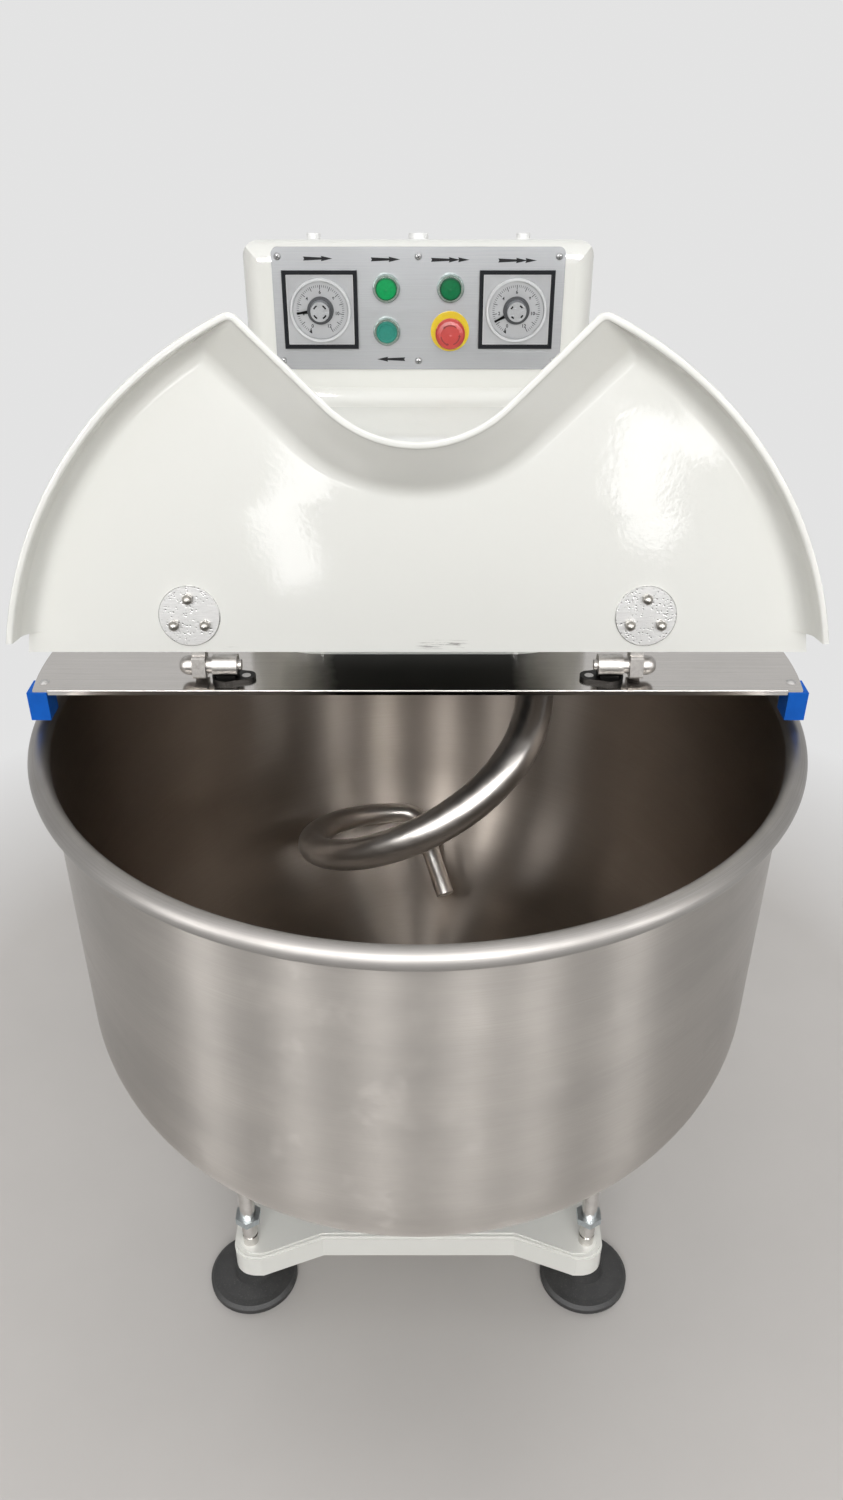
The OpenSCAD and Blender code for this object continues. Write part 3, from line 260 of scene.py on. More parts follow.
def roundCoordinates(tree, centreY, wide, fine):
    # ((x/r) wide, (y/r) wide, (r + z) fine): lines that run round an upright axis
    x, y, z = splitOf(tree, tree.nodes.new("ShaderNodeTexCoord").outputs["Object"])
    y = mathOf(tree, "SUBTRACT", y, centreY)
    r = mathOf(tree, "SQRT", mathOf(tree, "ADD", mathOf(tree, "MULTIPLY", x, x),
                                    mathOf(tree, "MULTIPLY", y, y)))
    safe = mathOf(tree, "MAXIMUM", r, 0.002)
    joined = tree.nodes.new("ShaderNodeCombineXYZ")
    for k, kind, a, b, scale in ((0, "DIVIDE", x, safe, wide), (1, "DIVIDE", y, safe, wide),
                                 (2, "ADD", r, z, fine)):
        scaled = mathOf(tree, "MULTIPLY", mathOf(tree, kind, a, b), scale)
        tree.links.new(scaled, joined.inputs[k])
    return joined.outputs[0], x, y


def tangentFrom(tree, shader, grain):
    # the grain's direction, given in the object's own axes
    turn = tree.nodes.new("ShaderNodeVectorTransform")
    turn.vector_type, turn.convert_from, turn.convert_to = "VECTOR", "OBJECT", "WORLD"
    tree.links.new(grain.outputs[0], turn.inputs[0])
    tree.links.new(turn.outputs[0], shader.inputs["Tangent"])


def grainRound(tree, shader, x, y):
    # the grain's direction runs round the axis: (-y, x, 0)
    grain = tree.nodes.new("ShaderNodeCombineXYZ")
    tree.links.new(mathOf(tree, "MULTIPLY", y, -1.0), grain.inputs[0])
    tree.links.new(x, grain.inputs[1])
    tangentFrom(tree, shader, grain)


ivory = {"colour": (0.80, 0.80, 0.755), "shade": (0.775, 0.77, 0.72), "roughness": 0.55,
         "peelDepth": 0.00006}


def enamelFinish(name, v, peel=170.0, ripple=6.0, scuffHeight=None):
    # gloss ivory: orange peel over a slow ripple, a faint cloudiness, rubbed marks near one height
    colour, shade, roughness = v["colour"], v["shade"], v["roughness"]
    m, tree, shader = startFinish(name, colour, roughness, coat=1.0, coatRoughness=0.02)
    place = objectPlace(tree)
    cloud = noiseOf(tree, place, 3.5, 1.5)
    colour = blendColours(tree, rangeOf(tree, cloud, 0.3, 0.75, 0.0, 0.4), colour, shade)
    if scuffHeight:
        height = splitOf(tree, place)[2]
        off = mathOf(tree, "ABSOLUTE", mathOf(tree, "SUBTRACT", height, scuffHeight))
        marks = noiseOf(tree, objectPlace(tree, (40, 40, 520)), 1.0, 5.0, 0.65)
        where = noiseOf(tree, place, 11.0, 1.0)
        rubbed = mathOf(tree, "MULTIPLY", rangeOf(tree, marks, 0.52, 0.62, 0.0, 0.8),
                        rangeOf(tree, where, 0.52, 0.6, 0.0, 1.0))
        rubbed = mathOf(tree, "MULTIPLY", rubbed, rangeOf(tree, off, 0.002, 0.006, 1.0, 0.0))
        colour = blendColours(tree, rubbed, colour, (0.20, 0.19, 0.17))
    tree.links.new(colour, shader.inputs["Base Color"])
    rough = noiseOf(tree, place, 40.0, 5.0)
    tree.links.new(rangeOf(tree, rough, 0.3, 0.75, roughness - 0.05, roughness + 0.08),
                   shader.inputs["Roughness"])
    wave = mathOf(tree, "ADD", noiseOf(tree, place, peel, 2.0, 0.5),
                  mathOf(tree, "MULTIPLY", noiseOf(tree, place, 11.0, 1.5), ripple))
    tree.links.new(bumpInto(tree, shader, wave, v["peelDepth"]), shader.inputs["Coat Normal"])
    return m


bowlSteel = {"light": (0.41, 0.383, 0.356), "dark": (0.34, 0.315, 0.29), "roughness": 0.34,
             "worn": 0.78}
bowlInside = {"light": (0.40, 0.352, 0.31), "dark": (0.34, 0.298, 0.26), "roughness": 0.40,
              "worn": 0.86}
bowlBead = {"light": (0.335, 0.32, 0.305), "dark": (0.27, 0.255, 0.24), "roughness": 0.44,
            "worn": 0.70}


def roundBrushedFinish(name, v, centreY, anisotropic=1.0):
    # stainless brushed round its axis, with fine lines, cloudy patches and faint handling marks
    light, roughness = v["light"], v["roughness"]
    m, tree, shader = startFinish(name, light, roughness, 1.0, anisotropic=anisotropic,
                                  anisotropicTurn=0.25)
    around, x, y = roundCoordinates(tree, centreY, 3.0, 2600.0)
    lines = noiseOf(tree, around, 1.0, 5.0, 0.7)
    cloud = noiseOf(tree, roundCoordinates(tree, centreY, 2.2, 14.0)[0], 1.0, 4.0, 0.6)
    spots = noiseOf(tree, objectPlace(tree), 26.0, 6.0, 0.6)
    colour = blendColours(tree, rangeOf(tree, lines, 0.3, 0.7, 0.0, 1.0), light, v["dark"])
    worn = tuple(c * v["worn"] for c in light)
    colour = blendColours(tree, rangeOf(tree, cloud, 0.38, 0.68, 0.0, 0.75), colour, worn)
    tree.links.new(colour, shader.inputs["Base Color"])
    base = rangeOf(tree, lines, 0.25, 0.75, roughness - 0.05, roughness + 0.07)
    marks = rangeOf(tree, spots, 0.55, 0.75, 0.0, 0.06)
    tree.links.new(mathOf(tree, "ADD", base, marks), shader.inputs["Roughness"])
    bumpInto(tree, shader, lines, 0.00001, 0.5)
    grainRound(tree, shader, x, y)
    return m


def sheetFinish(name, light, dark, roughness, stretch=(6, 900, 900), anisotropic=0.5,
                depth=0.00003, paintedGapReflection=None):
    # metal sheet brushed in one direction, along which the noise is stretched; a painted dark
    # reflection may darken it round one place along x, fully within "full" of it and not at all
    # from "none" on
    m, tree, shader = startFinish(name, light, roughness, 1.0, anisotropic=anisotropic,
                                  anisotropicTurn=0.25)
    lines = noiseOf(tree, objectPlace(tree, stretch), 1.0, 4.0, 0.65)
    cloud = noiseOf(tree, objectPlace(tree), 12.0, 4.0, 0.6)
    amount = mathOf(tree, "ADD", rangeOf(tree, lines, 0.3, 0.7, 0.0, 0.7),
                    rangeOf(tree, cloud, 0.4, 0.75, 0.0, 0.3))
    colour = blendColours(tree, amount, light, dark)
    if paintedGapReflection:
        wavy = mathOf(tree, "ADD", splitOf(tree, objectPlace(tree))[0],
                      rangeOf(tree, cloud, 0.2, 0.8, -0.012, 0.012))
        off = mathOf(tree, "ABSOLUTE", mathOf(tree, "SUBTRACT", wavy, paintedGapReflection["x"]))
        colour = blendColours(tree, rangeOf(tree, off, paintedGapReflection["full"], paintedGapReflection["none"], 1.0, 0.0),
                              colour, paintedGapReflection["colour"])
    tree.links.new(colour, shader.inputs["Base Color"])
    tree.links.new(rangeOf(tree, lines, 0.25, 0.75, roughness - 0.05, roughness + 0.07),
                   shader.inputs["Roughness"])
    bumpInto(tree, shader, lines, depth, 0.6)
    grain = tree.nodes.new("ShaderNodeCombineXYZ")
    grain.inputs[0].default_value = 1.0
    tangentFrom(tree, shader, grain)
    return m


def machinedFinish(name, light, dark, roughness, scale, depth):
    # small metal pieces: mottled tone, uneven polish and fine pits
    m, tree, shader = startFinish(name, light, roughness, 1.0)
    place = objectPlace(tree)
    mottle = noiseOf(tree, place, scale, 6.0, 0.65)
    broad = noiseOf(tree, place, scale * 0.15, 3.0)
    amount = mathOf(tree, "MULTIPLY", rangeOf(tree, mottle, 0.3, 0.7, 0.0, 1.0),
                    rangeOf(tree, broad, 0.3, 0.7, 0.6, 1.0))
    tree.links.new(blendColours(tree, amount, light, dark), shader.inputs["Base Color"])
    tree.links.new(rangeOf(tree, mottle, 0.3, 0.75, roughness - 0.06, roughness + 0.12),
                   shader.inputs["Roughness"])
    bumpInto(tree, shader, mottle, depth)
    return m


def polishedFinish(name, light, dark, roughness):
    # ground and polished bar: soft clouds in its tone, faint drawn-out streaks in its polish
    m, tree, shader = startFinish(name, light, roughness, 1.0)
    cloud = noiseOf(tree, objectPlace(tree), 24.0, 2.0, 0.5)
    streak = noiseOf(tree, objectPlace(tree, (40, 40, 110)), 1.0, 1.5, 0.5)
    tree.links.new(blendColours(tree, rangeOf(tree, cloud, 0.35, 0.65, 0.0, 1.0), light, dark),
                   shader.inputs["Base Color"])
    tree.links.new(rangeOf(tree, streak, 0.35, 0.65, roughness - 0.02, roughness + 0.04),
                   shader.inputs["Roughness"])
    return m


def knobFinish(name, centreX):
    # silver grip on a dark skirt, with a black pointer and black grip notches
    m = machinedFinish(name, (0.42, 0.425, 0.435), (0.33, 0.335, 0.345), 0.36, 500.0, 0.00001)
    tree = m.node_tree
    shader = tree.nodes["Principled BSDF"]
    silver = shader.inputs["Base Color"].links[0].from_socket
    x, y, z = splitOf(tree, objectPlace(tree, centre=(centreX, panelY, panelZ)))
    r = mathOf(tree, "SQRT", mathOf(tree, "ADD", *[mathOf(tree, "MULTIPLY", p, p) for p in (x, z)]))
    h = mathOf(tree, "MULTIPLY", y, -1.0)
    skirt = rangeOf(tree, h, 0.0069, 0.0072, 1.0, 0.0)
    pointer = rangeOf(tree, r, 0.0171, 0.0173, 0.0, 1.0)
    # four dashes at 45 degrees on the grip's face: r near 8.2 mm, where cos(4 angle) is low
    band = mathOf(tree, "ABSOLUTE", mathOf(tree, "SUBTRACT", r, 0.0084))
    angle = mathOf(tree, "ARCTAN2", x, z)
    quarter = mathOf(tree, "COSINE", mathOf(tree, "MULTIPLY", angle, 4.0))
    dash = mathOf(tree, "MULTIPLY", rangeOf(tree, band, 0.0009, 0.0011, 1.0, 0.0),
                  rangeOf(tree, quarter, -0.25, -0.15, 1.0, 0.0))
    notch = mathOf(tree, "MULTIPLY", dash, rangeOf(tree, h, 0.0150, 0.0152, 0.0, 1.0))
    colour = blendColours(tree, skirt, silver, (0.085, 0.087, 0.092))
    tree.links.new(blendColours(tree, mathOf(tree, "MAXIMUM", pointer, notch), colour,
                           (0.008, 0.008, 0.008)), shader.inputs["Base Color"])
    return m


def twoToneFinish(name, light, dark, black, height, roughness):
    # turned steel above a height, near black below it
    m = machinedFinish(name, light, dark, roughness, 220.0, 0.00005)
    tree = m.node_tree
    shader = tree.nodes["Principled BSDF"]
    steel = shader.inputs["Base Color"].links[0].from_socket
    z = splitOf(tree, objectPlace(tree))[2]
    low = rangeOf(tree, z, height - 0.0008, height + 0.0008, 1.0, 0.0)
    tree.links.new(blendColours(tree, low, steel, black), shader.inputs["Base Color"])
    return m


def mouldedFinish(name, colour, shade, roughness, grain, depth, dust=0.0, **more):
    # rubber and plastic: fine moulded grain, uneven tone and a little dust
    m, tree, shader = startFinish(name, colour, roughness, **more)
    place = objectPlace(tree)
    tone = noiseOf(tree, place, 35.0, 4.0, 0.6)
    fine = noiseOf(tree, place, grain, 3.0, 0.6)
    made = blendColours(tree, rangeOf(tree, tone, 0.35, 0.7, 0.0, 1.0), colour, shade)
    if dust:
        made = blendColours(tree, rangeOf(tree, fine, 0.55, 0.8, 0.0, dust), made,
                            (0.42, 0.40, 0.37))
    tree.links.new(made, shader.inputs["Base Color"])
    tree.links.new(rangeOf(tree, fine, 0.3, 0.75, roughness - 0.05, roughness + 0.1),
                   shader.inputs["Roughness"])
    bumpInto(tree, shader, fine, depth)
    return m


def pittedFinish(name, light, dark, roughness):
    # worn brushed alloy with dark pits and short scratches
    m, tree, shader = startFinish(name, light, roughness, 1.0)
    place = objectPlace(tree)
    pits = tree.nodes.new("ShaderNodeTexVoronoi")
    pits.inputs["Scale"].default_value = 330.0
    pits.inputs["Randomness"].default_value = 1.0
    tree.links.new(place, pits.inputs["Vector"])
    hole = rangeOf(tree, pits.outputs["Distance"], 0.16, 0.36, 1.0, 0.0)
    patch = rangeOf(tree, noiseOf(tree, place, 70.0, 3.0), 0.38, 0.52, 0.0, 1.0)
    pitted = mathOf(tree, "MULTIPLY", hole, patch)
    scratch = noiseOf(tree, objectPlace(tree, (90, 90, 1200)), 1.0, 4.0, 0.7)
    tone = blendColours(tree, rangeOf(tree, scratch, 0.35, 0.7, 0.0, 0.8), light, dark)
    worn = tuple(c * 0.45 for c in dark)
    tree.links.new(blendColours(tree, pitted, tone, worn), shader.inputs["Base Color"])
    tree.links.new(rangeOf(tree, scratch, 0.3, 0.7, roughness - 0.06, roughness + 0.1),
                   shader.inputs["Roughness"])
    depth = mathOf(tree, "SUBTRACT", scratch, mathOf(tree, "MULTIPLY", pitted, 2.0))
    bumpInto(tree, shader, depth, 0.00012, 0.8)
    return m


def lensFinish(name, colour, shade, centre, paintedGlow, roughness):
    # coloured lens with a painted glow of its lamp: brighter over the lamp in its middle, darker
    # towards the rim; fine ribs
    m, tree, shader = startFinish(name, colour, roughness, coat=0.15, coatRoughness=0.05,
                                  specular=0.25)
    place = objectPlace(tree, centre=centre)
    out = rangeOf(tree, lengthOf(tree, place), *paintedGlow, 0.0, 1.0)
    cloud = noiseOf(tree, place, 300.0, 2.0)
    inner = blendColours(tree, rangeOf(tree, cloud, 0.3, 0.7, 0.0, 0.25), colour, shade)
    tree.links.new(blendColours(tree, out, inner, shade), shader.inputs["Base Color"])
    tree.links.new(rangeOf(tree, cloud, 0.3, 0.7, roughness, roughness + 0.08),
                   shader.inputs["Roughness"])
    bumpInto(tree, shader, cloud, 0.00004)
    return m


print("making finishes")
enamel = enamelFinish("ivoryEnamel", ivory)
gelCoat = enamelFinish("ivoryGelCoat", {**ivory, "roughness": 0.5}, peel=190.0, ripple=4.0,
                       scuffHeight=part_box("lid_shell")[0][2] + 0.009)
bowlMetal = roundBrushedFinish("bowlBrushedSteel", bowlSteel, bowlY, anisotropic=0.95)
bowlInnerMetal = roundBrushedFinish("bowlInnerSteel", bowlInside, bowlY)
bowlBeadMetal = roundBrushedFinish("bowlBeadSteel", bowlBead, bowlY, anisotropic=0.5)
# painted reflection: the plate goes near black round its middle, where it mirrors the dark gap
# under the lid
plateMetal = sheetFinish("plateSatinSteel", (0.60, 0.575, 0.55), (0.50, 0.48, 0.455), 0.14,
                         paintedGapReflection={"x": 0.008, "full": 0.095, "none": 0.155,
                                 "colour": (0.014, 0.013, 0.012)})
edgeMetal = sheetFinish("plateEdgeSteel", (0.50, 0.48, 0.46), (0.38, 0.36, 0.345), 0.34)
panelMetal = sheetFinish("panelAluminium", (0.37, 0.375, 0.385), (0.32, 0.325, 0.335), 0.36,
                         stretch=(10, 900, 1400), anisotropic=0.4, depth=0.00001)
toolMetal = polishedFinish("toolPolishedSteel", (0.50, 0.475, 0.45), (0.44, 0.415, 0.39), 0.31)
discMetal = pittedFinish("discAlloy", (0.52, 0.515, 0.505), (0.38, 0.375, 0.365), roughness=0.36)
bearingMetal = twoToneFinish("hingeBearingSteel", (0.50, 0.48, 0.455), (0.28, 0.265, 0.25),
                             black=(0.02, 0.019, 0.018), height=hingeZ - 0.0055, roughness=0.36)
knobMetals = [knobFinish("knobSilver" + side, x0)
              for side, x0 in (("Left", -0.126), ("Right", 0.126))]

# name, light, dark, roughness, scale and depth of the mottling, nodes it dresses
machined = [
    ("zincPlate", (0.55, 0.60, 0.62), (0.36, 0.40, 0.42), 0.34, 260.0, 0.00003,
     "foot_spindles post_nuts"),
    ("chromePost", (0.72, 0.70, 0.68), (0.52, 0.50, 0.47), 0.14, 90.0, 0.00001, "support_posts"),
    ("hingeSteel", (0.46, 0.44, 0.42), (0.24, 0.225, 0.21), 0.36, 220.0, 0.00008,
     "hinge_arms hinge_pins"),
    ("screwSteel", (0.55, 0.54, 0.53), (0.32, 0.31, 0.30), 0.36, 500.0, 0.00003,
     "cover_screws plate_screws bearing_screws arm_screws stop_stem"),
    ("capNutSteel", (0.36, 0.345, 0.32), (0.17, 0.16, 0.145), 0.35, 400.0, 0.00003, "cap_nuts"),
    ("pulleyIron", (0.20, 0.20, 0.205), (0.11, 0.11, 0.11), 0.5, 180.0, 0.0001,
     "bowl_pulley bowl_bearing bowl_motor_pulley spiral_pulley spiral_bearings"
     " spiral_motor_pulley"),
    ("hubSteel", (0.28, 0.28, 0.285), (0.17, 0.17, 0.17), 0.4, 150.0, 0.00006, "bowl_hub"),
    ("panelScrewSteel", (0.42, 0.42, 0.42), (0.22, 0.22, 0.22), 0.35, 500.0, 0.00003,
     "panel_screws"),
    ("bezelChrome", (0.52, 0.60, 0.56), (0.18, 0.26, 0.22), 0.14, 250.0, 0.00003, "button_bezels")]
# name, colour, shade, roughness, scale and depth of the grain, nodes it dresses, further values
moulded = [
    ("footRubber", (0.018, 0.018, 0.018), (0.032, 0.031, 0.030), 0.55, 500.0, 0.0001, "foot_pads",
     {"dust": 0.12}),
    ("forkBlackPaint", (0.015, 0.015, 0.016), (0.03, 0.03, 0.03), 0.42, 400.0, 0.00003,
     "roller_forks", {}),
    ("rollerRubber", (0.02, 0.02, 0.02), (0.04, 0.04, 0.04), 0.6, 600.0, 0.00003,
     "roller_left roller_right", {}),
    ("beltRubber", (0.02, 0.02, 0.02), (0.035, 0.035, 0.035), 0.7, 500.0, 0.00003,
     "bowl_belt spiral_belt", {}),
    ("timerFrameBlack", (0.008, 0.009, 0.012), (0.012, 0.013, 0.016), 0.3, 900.0, 0.00001,
     "timer_frames", {"specular": 0.2}),
    ("guideBlockBlue", (0.002, 0.12, 0.56), (0.002, 0.095, 0.46), 0.5, 300.0, 0.00004,
     "guide_blocks", {"specular": 0.12}),
    ("timerFaceGrey", (0.49, 0.495, 0.505), (0.44, 0.445, 0.455), 0.35, 900.0, 0.00001,
     "timer_faces", {}),
    ("dialRing", (0.86, 0.87, 0.88), (0.76, 0.77, 0.78), 0.12, 300.0, 0.00001, "timer_lenses",
     {"transmission": 0.15, "ior": 1.45}),
    ("stopYellow", (0.86, 0.68, 0.03), (0.80, 0.58, 0.02), 0.3, 500.0, 0.00002, "stop_plate", {}),
    ("stopRed", (0.62, 0.055, 0.045), (0.50, 0.04, 0.035), 0.34, 500.0, 0.00002, "stop_button", {}),
    ("plugWhite", (0.84, 0.84, 0.83), (0.76, 0.76, 0.75), 0.35, 500.0, 0.00002, "top_caps", {}),
    ("glandBlack", (0.02, 0.02, 0.022), (0.035, 0.035, 0.037), 0.45, 600.0, 0.00003,
     "cable_gland", {}),
    ("motorPaint", (0.05, 0.10, 0.16), (0.035, 0.075, 0.12), 0.4, 250.0, 0.00008,
     "bowl_motor spiral_motor", {"dust": 0.15}),
    ("printBlack", (0.008, 0.008, 0.009), (0.018, 0.018, 0.02), 0.5, 900.0, 0.00001, "",
     {"specular": 0.15}),
    ("printWhite", (0.75, 0.75, 0.75), (0.66, 0.66, 0.66), 0.45, 900.0, 0.00001, "", {}),
    ("twistMarkRed", (0.30, 0.02, 0.018), (0.24, 0.018, 0.015), 0.4, 700.0, 0.00001, "", {}),
    # dark bars in the panel screws: painted shade in their cross recesses
    ("recessPaintedShade", (0.03, 0.03, 0.03), (0.05, 0.05, 0.05), 0.5, 900.0, 0.00001, "", {})]
# name, colour, shade, centre from the panel's middle, radii of the lamp's painted glow, roughness,
# node
lenses = [
    # the lit green lens is a brighter copy of the dim one: its lamp's light is painted into its
    # colour
    ("lensGreenLit", (0.003, 0.36, 0.10), (0.002, 0.11, 0.04), (-0.041, -0.0115, 0.0265),
     (0.0110, 0.0132), 0.12, "start_button"),
    ("lensGreenDim", (0.003, 0.18, 0.06), (0.002, 0.06, 0.025), (0.041, -0.0115, 0.0265),
     (0.0105, 0.0132), 0.12, "second_button"),
    ("lensTeal", (0.026, 0.26, 0.20), (0.015, 0.16, 0.12), (-0.041, -0.0085, -0.0265),
     (0.0118, 0.0134), 0.28, "reverse_button")]

finishOf = {"cover_plate": plateMetal, "plate_skirt": plateMetal, "hinge_bearings": bearingMetal,
            "control_panel": panelMetal, "bowl_shell": bowlMetal, "spiral_arm": toolMetal,
            "spiral_shaft": toolMetal, "lid_shell": gelCoat, "lid_discs": discMetal,
            "timer_knob_left": knobMetals[0], "timer_knob_right": knobMetals[1]}
finishOf.update(dict.fromkeys(("base_casting", "column_shell", "rear_cover", "head_shell"), enamel))
for name, light, dark, roughness, scale, depth, worn in machined:
    finish = machinedFinish(name, light, dark, roughness, scale, depth)
    finishOf.update(dict.fromkeys(worn.split(), finish))
plastic = {}
for name, colour, shade, roughness, grain, depth, worn, more in moulded:
    plastic[name] = mouldedFinish(name, colour, shade, roughness, grain, depth, **more)
    finishOf.update(dict.fromkeys(worn.split(), plastic[name]))
for name, colour, shade, centre, paintedGlow, roughness, worn in lenses:
    centre = (centre[0], panelY + centre[1], panelZ + centre[2])
    finishOf[worn] = lensFinish(name, colour, shade, centre, paintedGlow, roughness)


def dressNodes(finishes):
    # every CAD node gets its finish in all its slots
    for name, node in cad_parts.items():
        if not node.data.materials:
            node.data.materials.append(None)
        for k in range(len(node.data.materials)):
            node.data.materials[k] = finishes[name]


dressNodes(finishOf)


bowl = {"radius": 0.400, "wall": 0.003, "bead": 0.011, "rimZ": 0.848, "floorZ": 0.370,
        "corner": 0.1485, "beadFoot": 0.75, "gap": 0.010, "turns": 320, "cornerSteps": 26,
        "wallSteps": 20, "beadSteps": 34, "floorSteps": 12}


def makeBowl(v):
    # profile: from the middle of the underside up the outside, round the bead, down the inside
    inner, low, wall, turns = v["radius"] - v["wall"], v["floorZ"], v["wall"], v["turns"]
    cornerR, cornerZ = v["radius"] - v["corner"], low + v["corner"]
    edge, foot = cornerR - v["gap"], cornerZ + v["gap"]  # straight runs stop short of the arcs
    outside = [arcPoints(cornerR, cornerZ, v["corner"], -90, 0, v["cornerSteps"]),
               np.linspace((v["radius"], foot), (v["radius"], v["rimZ"] - 0.009), v["wallSteps"])]
    beadStart = -180 + math.degrees(math.acos(v["beadFoot"]))
    bead = arcPoints(inner + v["bead"], v["rimZ"], v["bead"], beadStart, 180, v["beadSteps"])
    inside = [np.linspace((inner, v["rimZ"] - 0.004), (inner, foot), v["wallSteps"]),
              arcPoints(cornerR, cornerZ, v["corner"] - wall, 0, -90, v["cornerSteps"])]
    floorOut = np.linspace((0, low), (edge, low), v["floorSteps"])
    floorIn = np.linspace((edge, low + wall), (0, low + wall), v["floorSteps"])
    profile = np.vstack([floorOut, *outside, bead, *inside, floorIn])
    piece = turnedPiece("brushedBowl", profile, (0, bowlY, 0), turns, crease=50)
    # three grains: outside, bead, and inside from the foot of the bead to the middle of the floor
    for finish in (bowlMetal, bowlBeadMetal, bowlInnerMetal):
        piece.data.materials.append(finish)
    quads = (len(profile) - 3) * turns
    k = np.arange(len(piece.data.polygons))
    firstBead = (len(floorOut) + sum(map(len, outside)) - 1) * turns
    firstInner = firstBead + (len(bead) - 1) * turns
    part = np.where(k < firstBead, 0, np.where(k < firstInner, 1, 2))
    part[(k >= quads) & (k < quads + turns)] = 0
    piece.data.polygons.foreach_set("material_index", part.astype(np.int32))
    return seat(piece, "bowl", "bowl_steel", "bowl_shell")


makeBowl(bowl)
print("bowl made")


spiral = {"radius": 0.150, "turn": 395.0, "topAngle": 125.0, "topZ": 0.862, "lowZ": 0.475,
          "tip": (0.039, 0.016, 0.414), "bar": 0.049, "barLow": 0.0275, "barTip": 0.0255,
          "sides": 64, "helixEnd": 0.975, "helixRows": 44, "taperFrom": 14, "fine": 420,
          "smoothings": 14, "ease": 0.0015}


def spiralPath(v, s):
    # a helix that closes in towards its hub; its height eases in and out: z = 3s^2 - 2s^3
    angle = v["topAngle"] - v["turn"] * s
    pull = np.where(angle < 20, 0, (angle - 20) / (v["topAngle"] - 20))
    rad = v["radius"] * (1 - 0.8 * pull ** 2 - 0.09 * (np.maximum(0, s - 0.8) / 0.2) ** 2)
    z = v["topZ"] - (v["topZ"] - v["lowZ"]) * (3 * s * s - 2 * s ** 3)
    return np.stack([rad * np.cos(np.radians(angle)), rad * np.sin(np.radians(angle)), z], -1)


def makeSpiral(v):
    # the bar's circle is carried along the path; its diameter falls from hub to tip
    endS, rows, sides, ease = v["helixEnd"], v["helixRows"], v["sides"], v["ease"]
    first = spiralPath(v, endS * np.arange(rows) / (rows - 1))
    bendP = np.array([0.018, v["radius"] * 0.9, v["lowZ"] - 0.003])
    rodP = np.array([0.017, v["radius"] * 0.44, v["lowZ"] - 0.016])
    tip = np.array(v["tip"])
    t = (np.arange(1, 9) / 8)[:, None]
    bend = (1 - t) ** 2 * spiralPath(v, np.array([endS])) + 2 * t * (1 - t) * bendP + t ** 2 * rodP
    rod = rodP + (tip - rodP) * (np.arange(1, 4) / 3)[:, None]
    path = np.vstack([first, bend, rod])
    k = np.arange(len(path))
    # the bar tapers slowly at first: ((k - start) / (rows - start)) to the power 1.4
    taper = np.clip((k - v["taperFrom"]) / (rows - v["taperFrom"]), 0, 1) ** 1.4
    size = np.where(k < rows, v["bar"] + (v["barLow"] - v["bar"]) * taper,
                    v["barLow"] + (v["barTip"] - v["barLow"]) * np.minimum(1, (k - rows + 1) / 9))
    # finer points along the same path, smoothed a little
    fine = np.linspace(0, len(path) - 1, v["fine"])
    pts = np.stack([np.interp(fine, k, path[:, c]) for c in range(3)], -1)
    dia = np.interp(fine, k, size)
    for _ in range(v["smoothings"]):
        pts[1:-1] = 0.25 * pts[:-2] + 0.5 * pts[1:-1] + 0.25 * pts[2:]
        dia[1:-1] = 0.25 * dia[:-2] + 0.5 * dia[1:-1] + 0.25 * dia[2:]
    # the blunt tip's edge is a quarter round of radius ease: (ease (1 - cos q), ease sin q)
    along = np.gradient(pts, axis=0)
    along /= np.linalg.norm(along, axis=1)[:, None]
    q = np.linspace(0, np.pi / 2, 5)[1:]
    extra = pts[-1] - along[-1] * (ease - ease * np.sin(q))[:, None]
    pts = np.vstack([pts[:-1], pts[-1] - along[-1] * ease, extra])
    along = np.vstack([along[:-1], np.repeat(along[-1:], 5, 0)])
    dia = np.concatenate([dia, dia[-1] - 2 * ease * (1 - np.cos(q))])
    side = np.cross(along, [0, 0, 1])
    side /= np.linalg.norm(side, axis=1)[:, None]
    up = np.cross(side, along)
    a = np.linspace(0, 2 * np.pi, sides, endpoint=False)
    rings = pts[:, None] + dia[:, None, None] / 2 * (np.cos(a)[None, :, None] * side[:, None]
                                                     + np.sin(a)[None, :, None] * up[:, None])
    flat = np.vstack([rings.reshape(-1, 3), pts[:1], pts[-1:]]) + [0, spiralY, 0]
    quads = gridFaces(len(pts), sides, closeCols=True)
    around, end = np.arange(sides), len(pts) * sides
    tris = np.vstack([fanFaces(around, end), fanFaces(around + end - sides, end + 1, flip=True)])
    piece = meshFromArrays("spiralBar", flat, quads[:, ::-1], tris[:, ::-1], creaseAngle=55)
    piece.data.materials.append(toolMetal)
    return seat(piece, "spiral", "tool_steel", "spiral_arm")


makeSpiral(spiral)
print("spiral made")


plateEdge = {"halfLength": 0.3893, "y": bowlY - 0.0562, "top": 0.90302, "radius": 0.0011,
             "sides": 14}


def makePlateEdge(v):
    # (x, y + r cos a, top - r + r sin a): the rolled front edge of the plate, a fine round bar
    a = np.linspace(0, 2 * np.pi, v["sides"], endpoint=False)
    ring = np.stack([0 * a, v["y"] + v["radius"] * np.cos(a),
                     v["top"] - v["radius"] + v["radius"] * np.sin(a)], -1)
    reach = np.array([v["halfLength"], 0, 0])
    n = v["sides"]
    faces = gridFaces(2, n, closeCols=True).tolist() + [list(range(n)), list(range(n, 2 * n))]
    piece = closedPiece("plateEdge", np.vstack([ring - reach, ring + reach]), faces, edgeMetal, 40)
    return seat(piece, "frame_body", "plate_steel")


makePlateEdge(plateEdge)


